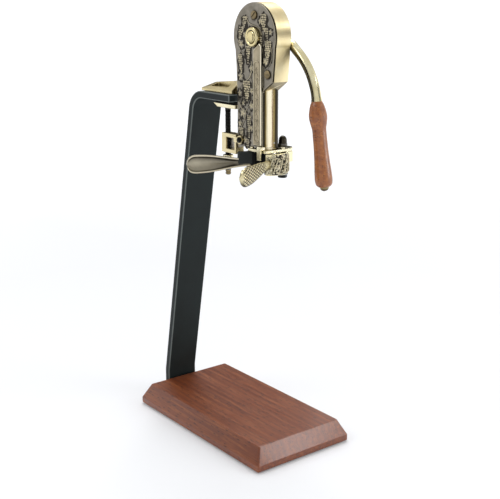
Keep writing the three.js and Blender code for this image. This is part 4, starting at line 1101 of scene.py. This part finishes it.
def paddle_spans(length, root, widest, droop):
    """(distance, middle height, half height) along a paddle that swells to a round end."""
    full = length - widest

    def edge(sign):
        start, end = sign * root, sign * widest - droop
        body = [(0, start), (length * 0.35, start), (length * 0.5, end), (full, end)]
        tip = [(full, end), (length - 3, end), (length, sign * widest * 0.6 - droop), (length, -droop)]
        first, last = ([Vector((*p, 0)) for p in points] for points in (body, tip))
        return interpolate_bezier(*first, 70) + interpolate_bezier(*last, 40)[1:]

    return [(up.x, (up.y + down.y) / 2, (up.y - down.y) / 2) for up, down in zip(edge(1), edge(-1))]


def handle_axes(side):
    """The directions along a handle and across its thickness."""
    along = Vector((*polar(1, -90 + side * SPLAY), 0))
    return along, Vector((along.y, -along.x, 0))


def handle_frame(root, side):
    """Handle space has X along the handle, Y across its thickness and Z up."""
    turn = Matrix((*handle_axes(side), (0, 0, 1))).transposed()
    return Matrix.Translation(root) @ turn.to_4x4()


def in_handle(look, root, side):
    """Distances along, across and up a handle from its root, in millimetres, for a material."""
    where = look.spot()
    axes = (*handle_axes(side), Vector((0, 0, 1)))
    return [look.math("SUBTRACT", look.math("MULTIPLY", look.dot(where, axis), 1 / MM), axis.dot(root))
            for axis in axes]


def knurl_pattern(look):
    """Dark in the crossed grooves of the knurled handle and open everywhere else."""
    along, _, up = in_handle(look, RIGHT_ROOT, 1)
    u, w = (look.math("MULTIPLY", way, math.pi / pitch) for way, pitch in zip((along, up), KNURL_PITCH))
    waves = [look.math("ABSOLUTE", look.math("SINE", look.math(sign, u, w))) for sign in ("ADD", "SUBTRACT")]
    diamond = look.spread(look.math("MULTIPLY", *waves), 0.08, 0.55)
    face = look.math("ABSOLUTE", look.dot(look.spot("Normal"), handle_axes(1)[1]))
    grooved = look.math("MULTIPLY", look.spread(along, 16, 24), look.spread(face, 0.45, 0.7))
    return look.math("MAXIMUM", diamond, look.math("SUBTRACT", 1.0, grooved))


def spoon_painted_shade(look):
    """Open on the spoon handle's rim; elsewhere painted shade that deepens from the bowl's end toward the
    shank.
    """
    along, across, _ = in_handle(look, LEFT_ROOT, -1)
    rim = look.spread(across, 0.45 - SPOON_THICK, 0.1 - SPOON_THICK)
    return look.math("MAXIMUM", rim, look.spread(along, 74, 15, 0.52, 0.14))


KNURL_BRASS = brass("knurl_brass", (240, 230, 192), (214, 200, 152), (44, 36, 20), 0.26, 0.96,
                    hollow_mm=1.6, pattern=knurl_pattern)
# its pattern gives the spoon handle painted shade everywhere but on the rim
PEWTER = brass("pewter_bronze", (228, 218, 192), (196, 188, 166), (52, 48, 42), 0.3, pattern=spoon_painted_shade)


def spoon():
    """A hollow spoon handle: a convex back, a rounded rim and a smooth bowl that faces outwards."""
    rim, bowl, thick, crown = 2.5, 4.8, SPOON_THICK, 6.4
    turns = [math.radians(-90 + 6 * i) for i in range(31)]
    rings = []
    for u, mid, half in paddle_spans(**SPOON):
        inner = max(half - rim, 0.02)
        depth = bowl * ease((u - 12) / 14) * ease(inner / 5)
        shoulder = min(half, inner + rim * 0.6)
        back = [(thick + crown * (math.cos(a) - 1), half * math.sin(a)) for a in turns]
        front = [(0.35 - thick + depth * math.cos(a), -inner * math.sin(a)) for a in turns]
        ring = [*back, (0.5 - thick, half * 0.985), (-thick, shoulder)]
        ring += [*front, (-thick, -shoulder), (0.5 - thick, -half * 0.985)]
        rings.append([(u, n, mid + v) for n, v in ring])
    bm = skin(rings)
    bm.transform(handle_frame(LEFT_ROOT, -1))
    return bm


def knurled():
    """A paddle cut with crossed grooves that leave rows of diamonds inside a smooth rim."""
    thick, sides, amplitude = 3.4, 200, 1.0
    pitch_u, pitch_v = KNURL_PITCH
    rings = []
    for u, mid, half in paddle_spans(**KNURLED):
        ring = []
        for k in range(sides):
            c, s = polar(1, 360 * k / sides)
            n = thick * math.copysign(abs(c) ** 0.7, c)
            v = half * math.copysign(abs(s) ** 0.9, s)
            inside = ease((half - abs(v)) / 2.2) * ease((u - 14) / 10)
            inside *= ease((KNURLED["length"] - u - 1.2) / 2.6)
            w = (mid + v) / pitch_v
            a, b = math.pi * (u / pitch_u + w), math.pi * (u / pitch_u - w)
            diamond = (abs(math.sin(a)) * abs(math.sin(b))) ** 0.6
            lift = amplitude * inside * (diamond - 0.25)
            ring.append((u, n + math.copysign(lift, n), mid + v))
        rings.append(ring)
    bm = skin(rings)
    bm.transform(handle_frame(RIGHT_ROOT, 1))
    return bm


def jaw_leaf(size, turn):
    """A small lobed leaf that stands proud of a jaw."""
    return lobed_leaf(size, turn, 4, 40, lambda lobe, _: 0.55 + 0.45 * lobe,
                      lambda _, share: -1.9 + 1.5 * share**1.6, 0.8)


def on_jaw(bm, side, angle, z):
    """Carry a shape that looks along -Y to the outside of a jaw, at an angle from the jaw's own side."""
    facing = angle if side > 0 else 180 - angle
    return moved(turned(bm, facing + 90, "Z"), *around_jaw(side, JAW["outer"] - 0.2, angle), z)


def jaw_ground(side):
    """A dark skin behind a jaw's relief, partly patina and partly painted shade between its grapes and
    leaves.
    """
    return prism(jaw_band(side, JAW["outer"] - 0.5, JAW["outer"] + 0.3, -28, 46), 390, 416.4)


def jaw_relief(side):
    """Grapes, leaves and stems cast on the outside of a jaw, with no two rows alike."""
    rng = random.Random(11 + side)
    parts = []
    for row in range(7):
        for i in range(17):
            angle = -43 + 5.3 * i + rng.uniform(-1.6, 1.6)
            z = 391.8 + row * 3.8 + rng.uniform(-1.2, 1.2)
            radius = rng.uniform(1.2, 2.2)
            if rng.random() < 0.5:
                parts.append(on_jaw(bead(0, 0, 0, radius, rng.uniform(0.8, 1.15), 12), side, angle, z))
    for i in range(10):
        angle, z = -38 + 9.5 * i + rng.uniform(-3, 3), 396.5 + 8 * (i % 3) + rng.uniform(-2, 2)
        parts.append(on_jaw(jaw_leaf(rng.uniform(4.2, 5.4), rng.uniform(0, 360)), side, angle, z))
    for i in range(6):
        start, bend = -44 + 17 * i, rng.uniform(-2.5, 2.5)
        points = [(*around_jaw(side, JAW["outer"] + 1.5, start + 3 * k), 392 + 3.4 * k + bend * math.sin(k))
                  for k in range(7)]
        parts.append(sweep(through(points, 4), 0.8, 8))
    return gathered(*parts)


SHOULDER = {"end": 19, "half": 4.5, "below": 2, "above": 14}
LINER = {"gap": 0.3, "thick": 1.9, "start": -44, "end": 50, "steps": 36}
LINER_LIP = (9.5, 4.6)  # degrees past the liner's end that its lip runs, outside and inside


def liner(side, node):
    """A rubber lining whose end wraps over the jaw's wall as a lip."""
    low, high = box_mm(node)
    start, end, steps = LINER["start"], LINER["end"], LINER["steps"]
    outer = JAW["inner"] - LINER["gap"]
    tip, root = (start - step for step in LINER_LIP)
    outline = jaw_arc(side, JAW["outer"] - 2, tip, root, 4)
    outline += jaw_arc(side, outer, start, end, steps)
    outline += jaw_arc(side, outer - LINER["thick"], end, tip, steps)
    return prism(outline, low.z, high.z)


def jaws():
    """Each jaw with its handle, its relief and its liner."""
    left = cut(joined(jaw_body(-1), spoon()), neck_room(-1))
    piece("left_jaw_cast", left, PEWTER, "left_jaw", bevel=0.5, segments=2)
    # painted shade: a black block that stands in for shade on the left jaw's front, by the spoon handle
    half = SHOULDER["half"]
    tall = block(0, SHOULDER["end"], -half, half, -SHOULDER["below"], SHOULDER["above"])
    tall.transform(handle_frame(LEFT_ROOT, -1))
    shoulder = cut(tall, neck_room(-1))
    piece("left_jaw_shoulder", shoulder, SHOULDER_SHADE_BLACK, body="left_jaw", slot="black_steel", bevel=1.2)
    right = cut(joined(jaw_body(1), knurled()), neck_room(1))
    piece("right_jaw_cast", right, KNURL_BRASS, "right_jaw")
    sides = ((-1, "left_jaw", "left_liner"), (1, "right_jaw", "right_liner"))
    for side, body, _ in sides:
        piece(body + "_ground", jaw_ground(side), PATINA_AND_SHADE, body=body, slot="antique_bronze")
    for side, body, _ in sides:
        piece(body + "_grapes", jaw_relief(side), JAW_BRONZE, body=body, slot="antique_bronze")
    for side, _, node in sides:
        piece(node + "_pad", liner(side, node), RUBBER, node, bevel=0.5)


# ---------------------------------------------------------------- table clamp
def clamp_jaw():
    """The fixed jaw: a wedge with a pocket in its sloped top, and a web that rises to the housing."""
    foot = box_mm("clamp_upper_jaw")[0].z
    wedge = hull([(-50, -28, 0), (20, -28, 0), (-50, 0, 0), (20, 0, 0), (-50, -28, 3.5), (20, -28, 4.5),
                  (-44, -8, 10.5), (20, -12, 17), (-44, 0, 10.5), (20, 0, 17)])
    web = hull([(14, -22, 0), (26.6, -22, 0), (14, 0, 0), (26.6, 0, 0), (14, -15, 17), (25.2, -17, 24),
                (14, 0, 17), (25.2, 0, 24)])
    pocket = prism(rounded(-34, 6, -24, -10, 3), 6, 30)
    bm = moved(cut(joined(wedge, web), pocket), z=foot)
    piece("clamp_jaw_cast", bm, CLAMP_BRASS, "clamp_upper_jaw", bevel=0.9)


def clamp_bracket():
    """An open frame round the rod, an eye for its screw and a plated rear wall."""
    low, high = box_mm("clamp_bracket")
    left, right, front, back = -5.2, 26.6, -26.5, -13
    bottom, top, plate = low.z, high.z, 5
    eye, eye_front, eye_back = middle_mm("bracket_screw"), front - 0.8, COVER_FACE - 0.3
    parts = [
        block(left, right, front, back, bottom, bottom + plate),
        block(left, left + 9.5, front, ROD.y - 4.5, bottom, top),
        block(left, right, back - 2, back, bottom, top),
        block(right - 3, right, front, back, bottom, top),
        block(right - 4, eye.x, eye_front, eye_back, eye.z - 4, eye.z + 3),
        lathe_y([(0, eye_front), (5.8, eye_front), (5.8, eye_back), (0, eye_back)], eye, 48),
    ]
    whole = joined(block(left, right, front, back, top - plate, top), *parts)
    bore = bore_z(4.05, bottom - CLEAR, top + CLEAR, ROD, 48)
    hole = bore_y(2.2, -40, 0, eye, 32)
    piece("bracket_cast", cut(whole, bore, hole), SATIN_BRASS, "clamp_bracket", bevel=0.7)
    window = block(left + 0.3, right - 3.3, back - 2.5, back - 2, bottom + plate, top - plate)
    piece("bracket_window", window, SILVERED, body="stand", slot="brass", bevel=0.1)


def clamp_pad():
    """The bar that the rod pushes up, and the grooved cushion on it."""
    low, high = box_mm("clamp_pad")
    foot = low.z + 0.06  # just clear of the bracket when the clamp is wide open
    outline = [(low.x, high.z), (low.x + 10, foot), (high.x, foot), (high.x, high.z)]
    socket = bore_z(4.15, low.z - CLEAR, low.z + 3.2, ROD, 48)
    bm = cut(prism(outline, low.y, high.y, "Y"), socket)
    piece("pad_bar", bm, BRASS, "clamp_pad", bevel=0.7)
    low, high = box_mm("clamp_cushion")
    cushion = prism(rounded(low.x, high.x, low.y, high.y, 2.5), low.z, high.z)
    grooves = [block(x - 0.5, x + 0.5, low.y - 2, high.y + 2, high.z - 0.8, high.z + 2)
               for x in (low.x + (high.x - low.x) * i / 9 for i in range(1, 9))]
    piece("cushion_pad", cut(cushion, *grooves), RUBBER, "clamp_cushion", bevel=0.4, segments=2)


def clamp_rod():
    """A screw with a rounded 2 mm thread between plain ends, its collar, tommy bar and end cap."""
    low, high = box_mm("clamp_rod")
    radius, pitch, sides, step = 3.9, 2.0, 40, 0.25
    thread_low, thread_high = 408, 466
    rings = []
    for i in range(round((high.z - low.z) / step) + 1):
        z = low.z + i * step
        fade = ease((z - thread_low) / 3) * ease((thread_high - z) / 3)
        ring = []
        for k in range(sides):
            wave = (z / pitch - k / sides) % 1.0
            depth = 0.42 * fade * ease(abs(2 * wave - 1))
            ring.append((*polar(radius - depth, 360 * k / sides), z))
        rings.append(ring)
    low, high = box_mm("tommy_bar")
    bar_z, reach = (low.z + high.z) / 2, (high.x - low.x) / 2
    hole = moved(turned(lathe([(2.4, -20), (2.4, 20)], 32), 90, "Y"), z=bar_z)
    bm = moved(cut(skin(rings), hole), ROD.x, ROD.y)
    piece("rod_threaded", bm, DARK_STEEL, "clamp_rod")
    low, high = box_mm("rod_collar")
    outer, tall = (high.x - low.x) / 2, high.z - low.z
    profile = [(4.2, 0), (outer - 0.6, 0), (outer, 0.7), (outer, tall - 0.7), (outer - 0.6, tall)]
    profile += [(5.5, tall), (4.2, tall)]
    piece("collar_ring", lathe_z(profile, ROD, loop=True, z=low.z), BRASS, "rod_collar")
    profile = [(0, -reach), (1.5, -reach), (2.2, 0.7 - reach), (2.2, reach - 0.7), (1.5, reach), (0, reach)]
    bm = moved(turned(lathe(profile, 40), 90, "Y"), ROD.x, ROD.y, bar_z)
    piece("tommy_turned", bm, DARK_STEEL, "tommy_bar")
    low, high = box_mm("rod_end_cap")
    tall = high.z - low.z
    profile = [(0, 0), (2.0, 0.15), (3.2, 0.8), (3.8, 2), (3.8, 3.4), (3.3, 3.8), (3.3, 4.6), (3.8, 5)]
    profile += [(3.8, tall), (0, tall)]
    piece("end_cap_turned", lathe_z(profile, ROD, 48, z=low.z), OLD_BRONZE, "rod_end_cap")


# ---------------------------------------------------------------- inner pieces kept as designed
def finer(node, material):
    """A copy of a CAD node with its faces merged, its edges softened and its curves shaded smooth."""
    bm = bmesh.new()
    bm.from_mesh(frame["nodes"][node].data)
    bm.transform(Matrix.Scale(1 / MM, 4))
    bmesh.ops.remove_doubles(bm, verts=bm.verts, dist=1e-3)
    merge_flat(bm, 1)
    piece(node + "_finished", bm, material, node, bevel=0.12, segments=2)


INNER_STEEL = ["sector_gear", "idler_gear", "rack", "sector_pin", "lever_pin", "idler_pin", "guide_pin",
               "worm_carrier", "thrust_washer", "pivot_washer", "clamp_jaw_screw_1", "clamp_jaw_screw_2"]
INNER_BRASS = ["guide_nut", "plate_screw_1", "plate_screw_2"]


# ---------------------------------------------------------------- stage
def stage_plane(name, look, size=1.0):
    bm = bmesh.new()
    bmesh.ops.create_grid(bm, x_segments=1, y_segments=1, size=size / 2)
    mesh = mesh_from(bm, name)
    bm.free()
    mesh.materials.append(look.material)
    made = shown(name, mesh)
    return made


def floor():
    """A pale floor that glows more with distance, as a bright backdrop does."""
    pale = (0.74, 0.75, 0.77, 1)
    look = Look("floor_look", Base_Color=pale, Roughness=0.85, Emission_Color=pale)
    away = look.vector("LENGTH", look.spot(), output="Value")
    look.into("Emission Strength", look.spread(away, 0.9, 3.0, 0.1, 0.36))
    stage_plane("floor", look, 300)


def flag(name, width, height, location, azimuth, shade, glow=0.0):
    """A card that only shows in reflections; it stands upright and faces the object."""
    color = rgb(shade, shade, shade)
    look = Look(name + "_look", Base_Color=color, Roughness=1.0, Emission_Color=color, Emission_Strength=glow)
    card = stage_plane(name, look)
    card.location = location
    card.rotation_euler = (math.radians(90), 0, math.radians(azimuth))
    card.scale = (width, height, 1)
    card.visible_camera = False
    card.visible_diffuse = False
    card.visible_shadow = False


def area_light(name, location, target, size, power):
    data = bpy.data.lights.new(name, "AREA")
    data.shape = "RECTANGLE"
    data.size, data.size_y = size, size
    data.energy = power
    lamp = shown(name, data)
    lamp.location = location
    lamp.rotation_euler = (Vector(location) - Vector(target)).to_track_quat("Z", "Y").to_euler()


def sun_light(name, tilt, spread, power):
    """A wide even light from above; tilt leans it about X and Y, in degrees."""
    data = bpy.data.lights.new(name, "SUN")
    data.energy = power
    data.angle = math.radians(spread)
    shown(name, data).rotation_euler = (math.radians(tilt[0]), math.radians(tilt[1]), 0)


def sky():
    """Lights the whole scene: white at the horizon, where it meets the floor, and softer overhead."""
    world = bpy.data.worlds.new("studio")
    bpy.context.scene.world = world
    world.use_nodes = True
    nodes = Nodes(world.node_tree)
    background = nodes.tree.nodes["Background"]
    background.inputs["Color"].default_value = (1, 1, 1, 1)
    height = nodes.axes(nodes.spot("Generated"))["Z"]
    nodes.tree.links.new(nodes.spread(height, 0.08, 0.3, 1.0, 0.66), background.inputs["Strength"])


def studio():
    floor()
    sky()
    area_light("key", (-0.6, -1.7, 1.9), (0.06, 0, 0.5), 1.0, 10)
    area_light("side", (1.5, 1.3, 1.15), (0.1, 0, 0.2), 1.1, 11)
    sun_light("top", (-18, -28), 36, 1.5)
    flag("flag_front", 0.8, 1.8, (-0.5, -1.5, 0.5), -15, 8)
    flag("flag_rear", 0.9, 1.0, (-1.0, 0.5, 0.45), 20, 10)
    flag("card_end", 0.9, 0.7, (1.45, 1.18, 0.97), -52, 255, 7)
    flag("flag_wall", 0.55, 0.3, (0.57, 0.4, 0.7), -52, 0)


def camera():
    data = bpy.data.cameras.new("camera")
    data.lens = 70.69
    data.sensor_width = 36
    data.clip_start = 0.05
    eye = shown("camera", data)
    eye.location = (1.0789, -0.8149, 0.6325)
    eye.rotation_euler = (math.radians(90 - 15.169), 0, math.radians(52.325))
    bpy.context.scene.camera = eye


bpy.context.scene.view_settings.view_transform = "Standard"
camera()
studio()
board()
felt_sheet()
strap()
wood_screw("strap_screw_1")
wood_screw("strap_screw_2")
cover()
relief()
housing()
face_bar()
slotted_screw("cover_screw_1", 45, OLD_BRONZE)
slotted_screw("cover_screw_2", 0, OLD_BRONZE)
slotted_screw("bracket_screw", 60, DARK_STEEL)
bushings()
boss()
lever()
grip()
shaft()
barrel()
worm()
jaw_plate()
pivot()
jaw_spring()
jaws()
clamp_jaw()
clamp_bracket()
clamp_pad()
clamp_rod()
for inner in INNER_STEEL:
    finer(inner, STEEL)
for inner in INNER_BRASS:
    finer(inner, BRASS)
